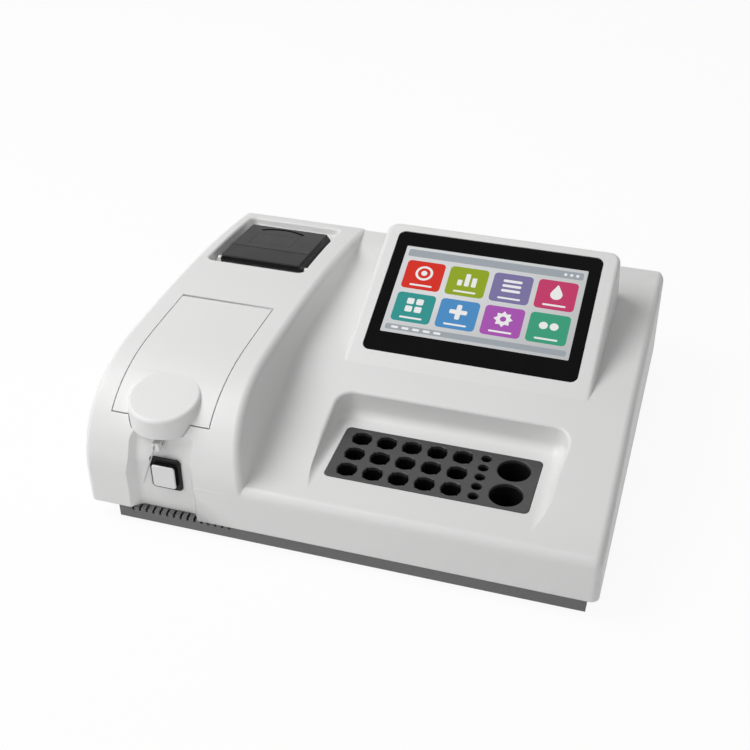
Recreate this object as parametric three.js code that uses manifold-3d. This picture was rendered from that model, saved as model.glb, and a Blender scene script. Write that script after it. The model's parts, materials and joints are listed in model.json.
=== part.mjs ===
// A benchtop chemistry analyzer: a white moulded casing on a grey steel base tray.
// The left block holds the sample lid, the sipper, the photometer, the pump and the printer.
// The deck to its right holds the tilted touch screen and the sunk incubator.
// Lengths are millimetres. X runs from the left edge, Y from the front, Z up from the bench.
// The root group then puts the origin at the middle of the footprint, on the bench.
import * as THREE from "three";
import { mergeVertices } from "three/addons/utils/BufferGeometryUtils.js";
import Module from "manifold-3d";

const wasm = await Module();
wasm.setup();

// Fits, cuts and facets
const seatGap = 0.3;
const runGap = 0.8;
const overrun = 6;
const mergeTolerance = 0.0001;
const leastRound = 0.8;
const roundSides = 24;
const wellSides = 16;
const smallSides = 12;
const leastSides = 8;
const cornerSteps = 4;
const bendSteps = 3;
const noseSteps = 10;
const crownSteps = 7;
const rampSteps = 5;
const arcSteps = 10;
const tubeSteps = 44;

// Overall casing
const bodyWidth = 400;
const bodyDepth = 342;
const footHeight = 4;
const baseHeight = 11.5;
const wall = 3;
const planCorner = 12;

// Deck profile, front to rear
const apronHeight = 55;
const apronRound = 9;
const kneeDepth = 148;
const kneeHeight = 87;
const kneeBlend = 20;
const valleyRearSet = 56;
const valleyHeight = 88.5;
const ledgeRearSet = 16;
const ledgeHeight = 95;
const deckEdgeRound = 7;

// Left block
const blockTopWidth = 120;
const blockFootWidth = 131;
const noseSet = 2.5;
const noseStart = 56.3;
const crownHeight = 115.3;
const crownDepth = 95;
const blockRearHeight = 95.6;
const blockEdgeRound = 11;
const noseShares = [[0.053, 0.56], [0.379, 1]];
const crownShares = [[0.385, 1], [0.709, 0.746]];

// Console that carries the screen
const consoleTilt = 22.4;
const consoleLeft = 163.3;
const consoleLeftBorder = 12.2;
const consoleRightBorder = 13.5;
const consoleRearBorder = 9.4;
const consoleCorner = 10;
const consoleEdge = 4;
const consoleSink = 54;

// Screen
const glassWidth = 176.5;
const glassStart = 9.7;
const glassLength = 125.3;
const glassCorner = 6;
const glassThickness = 1.8;
const lcdSideBorder = 5.75;
const lcdEndBorder = 10.65;
const lcdThickness = 6;
const windowFrame = 4;
const bracketSheet = 1.5;
const bracketFlange = 10;

// Sunk tray for the incubator
const pocketLeftBorder = 11;
const pocketRightBorder = 16;
const pocketRearBorder = 16.5;
const pocketCorner = 13;
const pocketCove = 6;

// Incubator
const plateLeft = 183;
const plateFront = 35;
const plateWidth = 157;
const plateLength = 62;
const plateCorner = 4;
const plateThickness = 3;
const plateProud = 0.6;
const blockMargin = 2;
const incubatorHeight = 27;
const wellFloor = 4;
const wellColumns = 5;
const wellRows = 3;
const wellPitchX = 20.3;
const wellPitchY = 19.4;
const firstWellX = 15.3;
const firstWellY = 11.3;
const wellDiameter = 15.6;
const wellSquare = 12.6;
const smallWells = 5;
const smallWellX = 114.3;
const smallWellY = 8.2;
const smallWellPitch = 11.3;
const smallWellDiameter = 8.2;
const largeWells = 2;
const largeWellX = 137.4;
const largeWellY = 16;
const largeWellPitch = 29.2;
const largeWellDiameter = 25.6;
const heaterThickness = 3;
const standSheet = 1.5;

// Sample lid
const lidLeft = 19.9;
const lidRight = 99.3;
const lidFront = 20;
const lidBack = 157.5;
const lidThickness = 3;
const lidSkirt = 5;
const ledgeLap = 4;
const barrelRadius = 2.6;
const pinRadius = 1.2;
const pinLug = 5;
const bossX = 59;
const bossY = 32.3;
const bossRadius = 28;
const bossWall = 2.5;
const bossGap = 1.3;
const bossUnderside = 84.8;
const bossFrontTop = 101.5;
const bossBackTop = 110.5;

// Sipper channel in the front of the block
const channelLeft = 38;
const channelLeftFoot = 49;
const channelRightFoot = 87.5;
const channelRight = 91.5;
const channelDepth = 7;
const needleRadius = 0.8;
const needleTop = [61.5, 5.2, 80];
const needleTip = [49, 0.9, 42.5];
const sipperWidth = 6;
const sipperHeight = 6;
const sipperFront = 4;
const sipperSpigot = 2;
const sampleTubeRadius = 1.2;

// Suction key
const keyX = 66.6;
const keyZ = 52;
const bezelWidth = 25.4;
const bezelHeight = 29.5;
const bezelThickness = 2;
const bezelRound = 2.5;
const keyWidth = 18.6;
const keyHeight = 20;
const keyRound = 1.8;
const keyProud = 4.2;
const keyCapThickness = 1.3;
const keyTravel = 2;
const keySlack = 0.4;
const keyStemLength = 4;
const switchThickness = 5;
const switchBoardMargin = 8;
const switchPostRadius = 2.5;

// Printer bay, in a frame that tilts with the top of the block
const printerTilt = 6.9;
const printerX = 56.5;
const printerRearSet = 66;
const bayTopHeight = 106.2;
const bayLeftGap = 7.3;
const bayRightGap = 3.7;
const bayFrontGap = 13.3;
const bayRearGap = 15.5;
const bayDepth = 9;
const bayCorner = 4;
const doorWidth = 73;
const doorSkirt = 5;
const doorLength = 78.2;
const doorHeight = 7.4;
const doorFrontHeight = 6.6;
const doorRearHeight = 7;
const doorPinHeight = 3.2;
const doorBarrelRadius = 2.4;
const doorWall = 1.6;
const doorCreaseShare = 0.335;
const skirtBendShares = [0.6, 0.45];
const fingerSlotShift = 3;
const fingerSlotInset = 4;
const fingerSlotRadius = 38;
const fingerSlotWidth = 2.4;
const fingerSlotSweep = 64;
const bucketDepth = 44;
const bucketWall = 2;
const bucketInset = 4;
const rollRadius = 19;
const rollSlack = 4;
const rollCore = 6;
const rollY = 0;
const platenRadius = 4.5;
const platenLap = 1;
const platenRearSet = 14;
const platenZ = -6;
const headThickness = 3;
const headHeight = 12;

// Sample bay under the lid
const shelfTop = 83.5;
const bayFloor = 62;
const tubWall = 2;
const tubFront = 36;

// Photometer, with its light path along X
const opticsLeft = 29;
const opticsRight = 158;
const opticsFront = 40;
const opticsBack = 98;
const opticsPlate = 3;
const pathY = 62;
const pathZ = 33;
const holderX = 60;
const holderWidth = 36;
const holderTop = 80;
const cuvetteBore = 12.6;
const cellWidth = 12;
const cellHeight = 44;
const lightBore = 2.5;
const detectorLength = 10;
const detectorWidth = 11;
const wheelLeft = 90;
const wheelThickness = 5;
const wheelRadius = 24;
const filterRadius = 4.6;
const filterEdge = 0.4;
const filterRecess = 1.5;
const filterCount = 8;
const stepperRadius = 12.4;
const stepperLength = 22;
const stepperShaft = 2;
const bracketThickness = 2;
const lensRadius = 5.6;
const lensThickness = 4.5;
const lampHousingLeft = 121;
const lampHousingLength = 32;
const lampHousingWidth = 30;
const lampHousingTop = 50;
const lampRadius = 5;
const lampLength = 22;

// Peristaltic pump in the sample bay
const pumpX = 60;
const pumpY = 117;
const pumpRadius = 23;
const pumpBase = 6;
const trackHeight = 14;
const trackThickness = 3;
const rotorRadius = 14.5;
const rollerRadius = 3.2;
const rollerCount = 4;
const rotorPlate = 2;
const tubeRadius = 1.6;
const pumpShaft = 2;
const pumpMotorRadius = 15;
const pumpMotorLength = 30;

// Base tray, feet and screws
const baseLeft = 24.4;
const baseRightSet = 8.4;
const baseFront = 1;
const baseRearSet = 8;
const baseSheet = 1.5;
const ventCount = 15;
const ventStart = 35.3;
const ventPitch = 5.77;
const ventWidth = 2;
const ventBottomShare = 0.7;
const footRadius = 9;
const footTreadShare = 0.86;
const footBevelShare = 0.4;
const footInsetX = 26;
const footInsetY = 48;
const postRadius = 5;
const postInset = 18;
const screwRadius = 1.6;
const screwLength = 8;
const screwHeadRadius = 3;
const screwHeadHeight = 1.6;

// Rear panel and what is on it
const panelWidth = 174;
const panelSideSet = 14;
const panelBottom = 22;
const panelTop = 80;
const panelSheet = 1.5;
const panelLap = 4;
const panelMiddleZ = 51;
const inletSet = 144;
const inletWidth = 27;
const inletHeight = 20;
const inletDepth = 18;
const inletFlange = 3;
const inletWall = 1.6;
const pinWidth = 4;
const pinThickness = 2;
const switchSet = 110;
const switchWidth = 13;
const switchHeight = 20;
const switchDepth = 12;
const switchFlange = 1.6;
const rockerSwing = 14;
const rockerRadius = 9;
const fanSet = 69;
const fanSize = 50;
const fanThickness = 15;
const fanBore = 23.4;
const fanHub = 11;
const fanHubLength = 10;
const fanBlades = 7;
const fanBladePitch = 35;
const bladeThickness = 1.2;
const strutWidth = 3;
const fanStruts = 3;
const grilleSlots = 7;
const grillePitch = 6;
const grilleSlot = 3;
const serialSet = 24;
const serialZ = 64;
const serialFlangeWidth = 30.8;
const serialFlangeHeight = 12.5;
const serialShellWidth = 17;
const serialShellHeight = 8.4;
const serialProud = 5.5;
const serialPins = [5, 4];
const serialPinPitch = 2.77;
const usbSet = 17;
const usbZ = 40;
const usbWidth = 12;
const usbHeight = 11;
const usbDepth = 16;
const usbWall = 0.9;
const usbTongue = 3.2;
const wasteSet = 34;
const wasteZ = 38;
const wasteRadius = 2.6;
const wasteBore = 1.4;
const wasteLength = 15;
const wasteFlange = 5;

// Electronics
const supplySideSet = 20;
const supplyRearSet = 36;
const supplyWidth = 92;
const supplyLength = 118;
const supplyHeight = 38;
const boardGap = 12;
const boardFront = 150;
const boardWidth = 110;
const boardLength = 100;
const boardThickness = 1.6;
const standoffHeight = 8;
const standoffRadius = 3;
const chipShares = [[0.3, 0.35, 0.2, 0.22], [0.68, 0.3, 0.16, 0.18], [0.5, 0.75, 0.5, 0.08]];
const chipHeight = 3;

// Derived sizes and places
const valleyDepth = bodyDepth - valleyRearSet;
const ledgeDepth = bodyDepth - ledgeRearSet;
const glassLeft = consoleLeft + consoleLeftBorder;
const consoleWidth = consoleLeftBorder + glassWidth + consoleRightBorder;
const consoleLength = glassStart + glassLength + consoleRearBorder;
const lcdWidth = glassWidth - 2 * lcdSideBorder;
const lcdLength = glassLength - 2 * lcdEndBorder;
const pocketLeft = plateLeft - pocketLeftBorder;
const pocketWidth = pocketLeftBorder + plateWidth + pocketRightBorder;
const pocketBack = plateFront + plateLength + pocketRearBorder;
const printerY = bodyDepth - printerRearSet;
const bayWidth = bayLeftGap + doorWidth + doorSkirt + bayRightGap;
const bayLength = bayFrontGap + doorLength + bayRearGap;
const doorLeft = bayLeftGap - bayWidth / 2;
const doorFront = bayFrontGap - bayLength / 2;
const fingerSlotX = doorLeft + doorWidth / 2 - fingerSlotShift;
const rollWidth = doorWidth - 2 * (bucketInset + rollSlack);
const platenWidth = rollWidth + platenLap;
const platenY = doorFront + doorLength - platenRearSet;
const filterCircle = wheelRadius - filterRadius - filterEdge;
const baseRight = bodyWidth - baseRightSet;
const baseBack = bodyDepth - baseRearSet;
const panelLeft = bodyWidth - panelSideSet - panelWidth;
const inletX = panelLeft + inletSet;
const switchX = panelLeft + switchSet;
const fanX = panelLeft + fanSet;
const serialX = panelLeft + serialSet;
const usbX = panelLeft + usbSet;
const wasteX = panelLeft + wasteSet;
const supplyLeft = bodyWidth - supplySideSet - supplyWidth;
const supplyFront = bodyDepth - supplyRearSet - supplyLength;
const boardLeft = supplyLeft - boardGap - boardWidth;
const casingBottom = footHeight + baseHeight;
const floorTop = footHeight + baseSheet;
const pocketFloor = apronHeight;
const lidSeat = lidThickness + seatGap;
const bayLeft = lidLeft + ledgeLap;
const bayRight = lidRight - ledgeLap;
const hingeY = lidBack - barrelRadius;
const railFront = hingeY - barrelRadius - runGap - wall;
const plateTop = pocketFloor + plateProud;
const blockTop = plateTop - plateThickness - seatGap;
const bayFloorHeight = bayTopHeight - bayDepth;
const keyFace = channelDepth - bezelThickness - keyProud;
const channelBack = channelDepth + wall;
const panelRear = bodyDepth - wall - seatGap;
const panelFront = panelRear - panelSheet;
const pathBench = floorTop + seatGap + opticsPlate + seatGap;
const baseTop = casingBottom - seatGap;
const hingeZ = heightOn(blockLine(0), hingeY) - barrelRadius;
const sheetBelow = wall;
const spigotZ = needleTop[2] - sipperHeight / 2;
const switchBoardY = channelBack + keyStemLength + keyTravel + switchThickness + seatGap;
const doorHingeY = doorFront + doorBarrelRadius;
const doorFoot = doorLeft + doorWidth + doorSkirt;

// Shapes as three.js geometries
function boxShape(x0, x1, y0, y1, z0, z1) {
  const geometry = new THREE.BoxGeometry(x1 - x0, y1 - y0, z1 - z0);
  return geometry.translate((x0 + x1) / 2, (y0 + y1) / 2, (z0 + z1) / 2);
}

function outlineShape(points, holes = []) {
  const shape = new THREE.Shape(points.map(([u, v]) => new THREE.Vector2(u, v)));
  shape.holes = holes.map((hole) => new THREE.Path(hole.map(([u, v]) => new THREE.Vector2(u, v))));
  return shape;
}

// A prism whose outline lies in X and Y.
function prismZ(points, z0, z1, holes = []) {
  const settings = { depth: z1 - z0, bevelEnabled: false };
  return new THREE.ExtrudeGeometry(outlineShape(points, holes), settings).translate(0, 0, z0);
}

// A prism whose outline lies in Y and Z.
function prismX(points, x0, x1) {
  const settings = { depth: x1 - x0, bevelEnabled: false };
  const geometry = new THREE.ExtrudeGeometry(outlineShape(points), settings);
  const axes = new THREE.Matrix4().set(0, 0, 1, x0, 1, 0, 0, 0, 0, 1, 0, 0, 0, 0, 0, 1);
  return geometry.applyMatrix4(axes);
}

// A prism whose outline lies in X and Z.
function prismY(points, y0, y1, holes = []) {
  const settings = { depth: y1 - y0, bevelEnabled: false };
  const geometry = new THREE.ExtrudeGeometry(outlineShape(points, holes), settings);
  const axes = new THREE.Matrix4().set(1, 0, 0, 0, 0, 0, -1, y1, 0, 1, 0, 0, 0, 0, 0, 1);
  return geometry.applyMatrix4(axes);
}

function rodZ(x, y, z0, z1, radius, sides = roundSides) {
  const geometry = new THREE.CylinderGeometry(radius, radius, z1 - z0, sides);
  return geometry.rotateX(Math.PI / 2).translate(x, y, (z0 + z1) / 2);
}

function rodX(x0, x1, y, z, radius, sides = roundSides) {
  const geometry = new THREE.CylinderGeometry(radius, radius, x1 - x0, sides);
  return geometry.rotateZ(Math.PI / 2).translate((x0 + x1) / 2, y, z);
}

function rodY(x, y0, y1, z, radius, sides = roundSides) {
  return new THREE.CylinderGeometry(radius, radius, y1 - y0, sides).translate(x, (y0 + y1) / 2, z);
}

// A straight round rod between two points.
function rodBetween(from, to, radius, sides = smallSides) {
  const a = new THREE.Vector3(...from);
  const b = new THREE.Vector3(...to);
  const geometry = new THREE.CylinderGeometry(radius, radius, a.distanceTo(b), sides);
  const turn = new THREE.Quaternion();
  turn.setFromUnitVectors(new THREE.Vector3(0, 1, 0), b.clone().sub(a).normalize());
  const middle = a.add(b).divideScalar(2);
  return geometry.applyQuaternion(turn).translate(middle.x, middle.y, middle.z);
}

// The outline of a rectangle with round corners.
function roundRect(x0, x1, y0, y1, radius, steps = cornerSteps) {
  const centres = [[x1 - radius, y1 - radius], [x0 + radius, y1 - radius],
    [x0 + radius, y0 + radius], [x1 - radius, y0 + radius]];
  return centres.flatMap(([x, y], corner) => Array.from({ length: steps + 1 }, (_, i) => {
    const angle = (corner + i / steps) * Math.PI / 2;
    return [x + radius * Math.cos(angle), y + radius * Math.sin(angle)];
  }));
}

function arcPoints(x, y, radius, from, to, steps) {
  return Array.from({ length: steps + 1 }, (_, i) => {
    const angle = from + (to - from) * i / steps;
    return [x + radius * Math.cos(angle), y + radius * Math.sin(angle)];
  });
}

function circle(x, y, radius, sides = roundSides) {
  return arcPoints(x, y, radius, 0, 2 * Math.PI, sides).slice(1);
}

// Solids, and the joins and cuts on them
function solid(geometry) {
  const bare = geometry.index ? geometry.toNonIndexed() : geometry.clone();
  bare.deleteAttribute("normal");
  bare.deleteAttribute("uv");
  const merged = mergeVertices(bare, mergeTolerance);
  return new wasm.Manifold(new wasm.Mesh({
    numProp: 3,
    vertProperties: new Float32Array(merged.attributes.position.array),
    triVerts: new Uint32Array(merged.index.array),
  }));
}

const asSolid = (item) => (item.isBufferGeometry ? solid(item) : item);
const join = (...items) => items.map(asSolid).reduce((sum, item) => sum.add(item));
const cut = (first, ...items) => (
  items.map(asSolid).reduce((left, item) => left.subtract(item), asSolid(first)));
const common = (...items) => items.map(asSolid).reduce((left, item) => left.intersect(item));

function geometryOf(item) {
  if (item.isBufferGeometry) return item;
  const mesh = item.getMesh();
  const positions = new Float32Array(mesh.numVert * 3);
  for (let i = 0; i < mesh.numVert; i++) {
    positions.set(mesh.vertProperties.subarray(i * mesh.numProp, i * mesh.numProp + 3), i * 3);
  }
  const geometry = new THREE.BufferGeometry();
  geometry.setAttribute("position", new THREE.BufferAttribute(positions, 3));
  geometry.setIndex(new THREE.BufferAttribute(new Uint32Array(mesh.triVerts), 1));
  const faceted = geometry.toNonIndexed();
  faceted.computeVertexNormals();
  return faceted;
}

// A closed surface through rings of equally many points, with flat ends.
function skin(rings, flat) {
  const count = rings[0].length;
  const indices = [];
  for (let i = 0; i + 1 < rings.length; i++) {
    for (let j = 0; j < count; j++) {
      const a = i * count + j;
      const b = i * count + (j + 1) % count;
      indices.push(a, b, a + count, b, b + count, a + count);
    }
  }
  const outline = rings[0].map((point) => new THREE.Vector2(...flat(point)));
  const turn = Math.sign(THREE.ShapeUtils.area(outline));
  const last = (rings.length - 1) * count;
  for (const [a, b, c] of THREE.ShapeUtils.triangulateShape(outline, [])) {
    const same = Math.sign(THREE.ShapeUtils.area([outline[a], outline[b], outline[c]])) === turn;
    const [p, q] = same ? [b, c] : [c, b];
    indices.push(a, q, p, last + a, last + p, last + q);
  }
  const build = (order) => new wasm.Manifold(new wasm.Mesh({
    numProp: 3,
    vertProperties: new Float32Array(rings.flat(2)),
    triVerts: new Uint32Array(order),
  }));
  const made = build(indices);
  return made.volume() > 0 ? made : build(indices.reverse());
}

// Points moved inwards from a line that runs up the front, over the top and down the rear.
function insetLine(points, distance) {
  const normals = points.slice(1).map(([y, z], i) => {
    const run = [y - points[i][0], z - points[i][1]];
    const length = Math.hypot(...run);
    return [run[1] / length, -run[0] / length];
  });
  return points.map(([y, z], i) => {
    const a = normals[Math.max(i - 1, 0)];
    const b = normals[Math.min(i, normals.length - 1)];
    const scale = distance / (1 + a[0] * b[0] + a[1] * b[1]);
    return [y + scale * (a[0] + b[0]), z + scale * (a[1] + b[1])];
  });
}

function curvePoints(from, first, second, to, steps) {
  const corners = [from, first, second, to].map((point) => new THREE.Vector2(...point));
  return new THREE.CubicBezierCurve(...corners).getPoints(steps).map((point) => [point.x, point.y]);
}

function bendPoints(from, corner, to, steps) {
  const corners = [from, corner, to].map((point) => new THREE.Vector2(...point));
  return new THREE.QuadraticBezierCurve(...corners).getPoints(steps).map((point) => [point.x, point.y]);
}

// The side profile of the deck: apron, rise to the knee, valley, and the ledge at the rear.
function deckLine(bottom) {
  const rise = (kneeHeight - apronHeight) / kneeDepth;
  const fall = (valleyHeight - kneeHeight) / (valleyDepth - kneeDepth);
  const rampMiddle = (valleyDepth + ledgeDepth) / 2;
  const apron = bendPoints([0, apronHeight - apronRound], [0, apronHeight],
    [apronRound, apronHeight + rise * apronRound], cornerSteps);
  const knee = bendPoints([kneeDepth - kneeBlend, kneeHeight - rise * kneeBlend], [kneeDepth, kneeHeight],
    [kneeDepth + kneeBlend, kneeHeight + fall * kneeBlend], bendSteps);
  const ramp = curvePoints([valleyDepth, valleyHeight], [rampMiddle, valleyHeight],
    [rampMiddle, ledgeHeight], [ledgeDepth, ledgeHeight], rampSteps);
  return [[0, bottom], ...apron, ...knee, ...ramp, [bodyDepth, ledgeHeight], [bodyDepth, bottom]];
}

// The side profile of the block: an upright front, the nose, the crown and the fall to the rear.
function blockLine(bottom) {
  const noseRise = crownHeight - noseStart;
  const crownRun = bodyDepth - crownDepth;
  const crownFall = crownHeight - blockRearHeight;
  const nose = noseShares.map(([y, z]) => [y * crownDepth, noseStart + z * noseRise]);
  const crown = crownShares.map(([y, z]) => [crownDepth + y * crownRun, blockRearHeight + z * crownFall]);
  return [
    [0, bottom],
    ...curvePoints([noseSet, noseStart], ...nose, [crownDepth, crownHeight], noseSteps),
    ...curvePoints([crownDepth, crownHeight], ...crown, [bodyDepth, blockRearHeight], crownSteps).slice(1),
    [bodyDepth, bottom],
  ];
}

// The height of a profile line at a distance from the front.
function heightOn(line, y) {
  for (let i = 1; i < line.length; i++) {
    const [y0, z0] = line[i - 1];
    const [y1, z1] = line[i];
    if (y1 > y0 && y >= y0 && y <= y1) return z0 + (z1 - z0) * (y - y0) / (y1 - y0);
  }
  return line[0][1];
}

// A body made by carrying a side profile along X, with its side edges rounded.
function roundedBody(line, x0, x1, leftRound, rightRound, lean = 0) {
  const steps = cornerSteps;
  const stations = [];
  for (let i = 0; i <= steps && leftRound > 0; i++) {
    const angle = Math.PI / 2 * i / steps;
    stations.push([x0 + leftRound * (1 - Math.cos(angle)), leftRound * (1 - Math.sin(angle)), 0]);
  }
  if (!stations.length) stations.push([x0, 0, 0]);
  for (let i = steps; i >= 0; i--) {
    const angle = Math.PI / 2 * i / steps;
    stations.push([x1 - rightRound * (1 - Math.cos(angle)), rightRound * (1 - Math.sin(angle)), lean]);
  }
  const rings = stations.map(([x, inset, slope]) => (
    insetLine(line, inset).map(([y, z]) => [x + slope * (crownHeight - z), y, z])));
  return skin(rings, ([, y, z]) => [y, z]);
}

const blockLean = (blockFootWidth - blockTopWidth) / (crownHeight - apronHeight);

function blockBody(inset, bottom) {
  const edge = Math.max(blockEdgeRound - inset, leastRound);
  const line = insetLine(blockLine(bottom), inset);
  return roundedBody(line, inset, blockTopWidth - inset, edge, edge, blockLean);
}

function deckBody(inset, bottom) {
  const start = blockTopWidth - blockEdgeRound - wall;
  const edge = Math.max(deckEdgeRound - inset, leastRound);
  const line = insetLine(deckLine(bottom), inset);
  const body = roundedBody(line, start, bodyWidth - inset, 0, edge);
  const plan = roundRect(inset, bodyWidth - inset, inset, bodyDepth - inset, planCorner - inset);
  return common(body, prismZ(plan, bottom - overrun, crownHeight));
}

// The frame of the console: its origin is at the knee, Y runs up the slope and Z out of it.
const consoleFrame = new THREE.Matrix4().makeRotationX(THREE.MathUtils.degToRad(consoleTilt));
consoleFrame.setPosition(0, kneeDepth, kneeHeight);

function consoleBody(inset) {
  const x0 = consoleLeft + inset;
  const x1 = consoleLeft + consoleWidth - inset;
  const outline = roundRect(x0 + consoleEdge, x1 - consoleEdge, -consoleCorner,
    consoleLength - inset - consoleEdge, consoleCorner - consoleEdge);
  const geometry = new THREE.ExtrudeGeometry(outlineShape(outline), {
    depth: consoleSink,
    bevelEnabled: true,
    bevelThickness: consoleEdge,
    bevelSize: consoleEdge,
    bevelSegments: bendSteps,
  });
  geometry.translate(0, 0, -consoleSink - consoleEdge - inset);
  return geometry.applyMatrix4(consoleFrame);
}

// A block in the console's frame.
function consoleBox(x0, x1, y0, y1, z0, z1) {
  return boxShape(x0, x1, y0, y1, z0, z1).applyMatrix4(consoleFrame);
}

// The tray that is sunk into the deck, open towards the front, with a coved foot.
function pocketBody(grow, floor) {
  const steps = bendSteps;
  const levels = [];
  for (let i = 0; i <= steps; i++) {
    const angle = Math.PI / 2 * i / steps;
    levels.push([floor + pocketCove * (1 - Math.cos(angle)), pocketCove * (1 - Math.sin(angle))]);
  }
  levels.push([kneeHeight + crownHeight, 0]);
  const rings = levels.map(([z, inset]) => {
    const side = inset - grow;
    const outline = roundRect(pocketLeft + side, pocketLeft + pocketWidth - side, -pocketBack,
      pocketBack - side, pocketCorner - side);
    return outline.map(([x, y]) => [x, y, z]);
  });
  return skin(rings, ([x, y]) => [x, y]);
}

// The upright channel in the front of the block.
function channelBody(grow, bottom, top) {
  const outline = [
    [channelLeft - grow, -overrun],
    [channelLeft - grow, 0],
    [channelLeftFoot - grow, channelDepth + grow],
    [channelRightFoot + grow, channelDepth + grow],
    [channelRight + grow, 0],
    [channelRight + grow, -overrun],
  ];
  return prismZ(outline, bottom, top);
}

// The frame of the printer bay: its origin is at the middle of the bay's floor.
const printerFrame = new THREE.Matrix4().makeRotationX(-THREE.MathUtils.degToRad(printerTilt));
printerFrame.setPosition(printerX, printerY, bayFloorHeight);

function printerRecess(grow) {
  const outline = roundRect(-bayWidth / 2 - grow, bayWidth / 2 + grow, -bayLength / 2 - grow,
    bayLength / 2 + grow, bayCorner + grow);
  return prismZ(outline, -grow, bayDepth + 2 * overrun).applyMatrix4(printerFrame);
}

function bucketBox(grow, top) {
  return boxShape(doorLeft + bucketInset - grow, doorLeft + doorWidth - bucketInset + grow,
    doorFront + 2 * bucketInset - grow, doorFront + doorLength - bucketInset + grow,
    -bucketDepth - grow, top);
}

// The space of the sample lid, cut square to the nose at its front edge.
function lidZone(grow) {
  const noseHeight = heightOn(blockLine(0), lidFront);
  const slip = Math.SQRT1_2;
  const front = [lidFront - grow * slip, noseHeight - grow * slip];
  const skirt = [front[0] + lidSkirt * slip, front[1] - lidSkirt * slip];
  const outline = [
    [front[0] - lidFront * slip, front[1] + lidFront * slip],
    skirt,
    [lidBack + grow, skirt[1]],
    [lidBack + grow, crownHeight + overrun],
    [front[0] - lidFront * slip, crownHeight + overrun],
  ];
  return prismX(outline, lidLeft - grow, lidRight + grow);
}

// The lift boss at the front of the lid: a thick disc with a sloping top.
function bossBody(grow) {
  const front = bossY - bossRadius - overrun;
  const back = bossY + bossRadius + overrun;
  const fall = (bossBackTop - bossFrontTop) / (2 * bossRadius);
  const outline = [
    [front, bossUnderside - grow],
    [back, bossUnderside - grow],
    [back, bossBackTop + fall * overrun + grow],
    [front, bossFrontTop - fall * overrun + grow],
  ];
  const disc = rodZ(bossX, bossY, 0, crownHeight + overrun, bossRadius + grow, 2 * roundSides);
  return common(disc, prismX(outline, bossX - bossRadius - overrun, bossX + bossRadius + overrun));
}

// Finishes
function finish(color, roughness, metalness = 0) {
  return () => new THREE.MeshStandardMaterial({ color, roughness, metalness });
}
const whitePlastic = finish(0xe4e4e2, 0.42);
const greyPaint = finish(0x6c6c6c, 0.6);
const darkPlastic = finish(0x3a3a3b, 0.5);
const blackPlastic = finish(0x161616, 0.4);
const blackGlass = finish(0x08090a, 0.12);
const clearGlass = finish(0xdfe6e8, 0.08);
const steel = finish(0xb9bcc0, 0.3, 1);
const aluminium = finish(0x9a9da1, 0.4, 1);
const rubber = finish(0x1d1d1d, 0.85);
const paper = finish(0xf2f0ea, 0.9);
const board = finish(0x1f5a38, 0.55);
const tubing = finish(0xd8dde0, 0.3);

const analyzer = new THREE.Group();
const printerGroup = new THREE.Group();
const screenGroup = new THREE.Group();
printerGroup.applyMatrix4(printerFrame);
screenGroup.applyMatrix4(consoleFrame);
analyzer.add(printerGroup, screenGroup);
const rearReach = panelRear + 4 * wasteLength / 5;
analyzer.position.set(-bodyWidth / 2, -rearReach / 2, 0);

function piece(group, name, item, material) {
  const mesh = new THREE.Mesh(geometryOf(item), material());
  mesh.name = name;
  group.add(mesh);
  return mesh;
}

// Base tray, feet and screws
function cornerPlaces(insetX, insetY) {
  return [baseLeft + insetX, baseRight - insetX].flatMap((x) => (
    [baseFront + insetY, baseBack - insetY].map((y) => [x, y])));
}
const screwPlaces = cornerPlaces(postInset, postInset);
const footPlaces = cornerPlaces(footInsetX, footInsetY);

// The tray has a lip where the sipper channel leaves its front edge bare, and slots that run over it.
function makeBaseTray() {
  const shell = cut(
    boxShape(baseLeft, baseRight, baseFront, baseBack, footHeight, baseTop),
    boxShape(baseLeft + baseSheet, baseRight - baseSheet, baseFront + baseSheet, baseBack - baseSheet,
      floorTop, baseTop + overrun),
  );
  const lip = boxShape(channelLeft - wall, channelRight + wall, baseFront, channelBack,
    baseTop - baseSheet, baseTop);
  const tray = join(shell, lip);
  const slotBottom = footHeight + ventBottomShare * baseHeight;
  const slots = Array.from({ length: ventCount }, (_, i) => {
    const x = ventStart + i * ventPitch;
    return boxShape(x, x + ventWidth, baseFront - overrun, channelDepth, slotBottom, baseTop + overrun);
  });
  const holes = screwPlaces.map(([x, y]) => (
    rodZ(x, y, footHeight - overrun, floorTop + overrun, screwRadius + seatGap, smallSides)));
  const standoffs = standoffPlaces().map(([x, y]) => (
    rodZ(x, y, footHeight + seatGap, floorTop + standoffHeight, standoffRadius, smallSides)));
  return join(cut(tray, ...slots, ...holes), ...standoffs);
}

function standoffPlaces() {
  const inset = 2 * standoffRadius;
  return [boardLeft + inset, boardLeft + boardWidth - inset].flatMap((x) => (
    [boardFront + inset, boardFront + boardLength - inset].map((y) => [x, y])));
}

function makeFoot([x, y]) {
  const profile = [[0, 0], [footTreadShare * footRadius, 0], [footRadius, footBevelShare * footHeight],
    [footRadius, footHeight - seatGap], [0, footHeight - seatGap]];
  const geometry = new THREE.LatheGeometry(profile.map((p) => new THREE.Vector2(...p)), smallSides);
  return geometry.rotateX(Math.PI / 2).translate(x, y, 0);
}

function makeScrew([x, y]) {
  const top = footHeight - seatGap;
  return join(rodZ(x, y, top - screwHeadHeight, top, screwHeadRadius, leastSides),
    rodZ(x, y, top - screwHeadHeight / 2, top + screwLength, screwRadius, leastSides));
}

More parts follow.
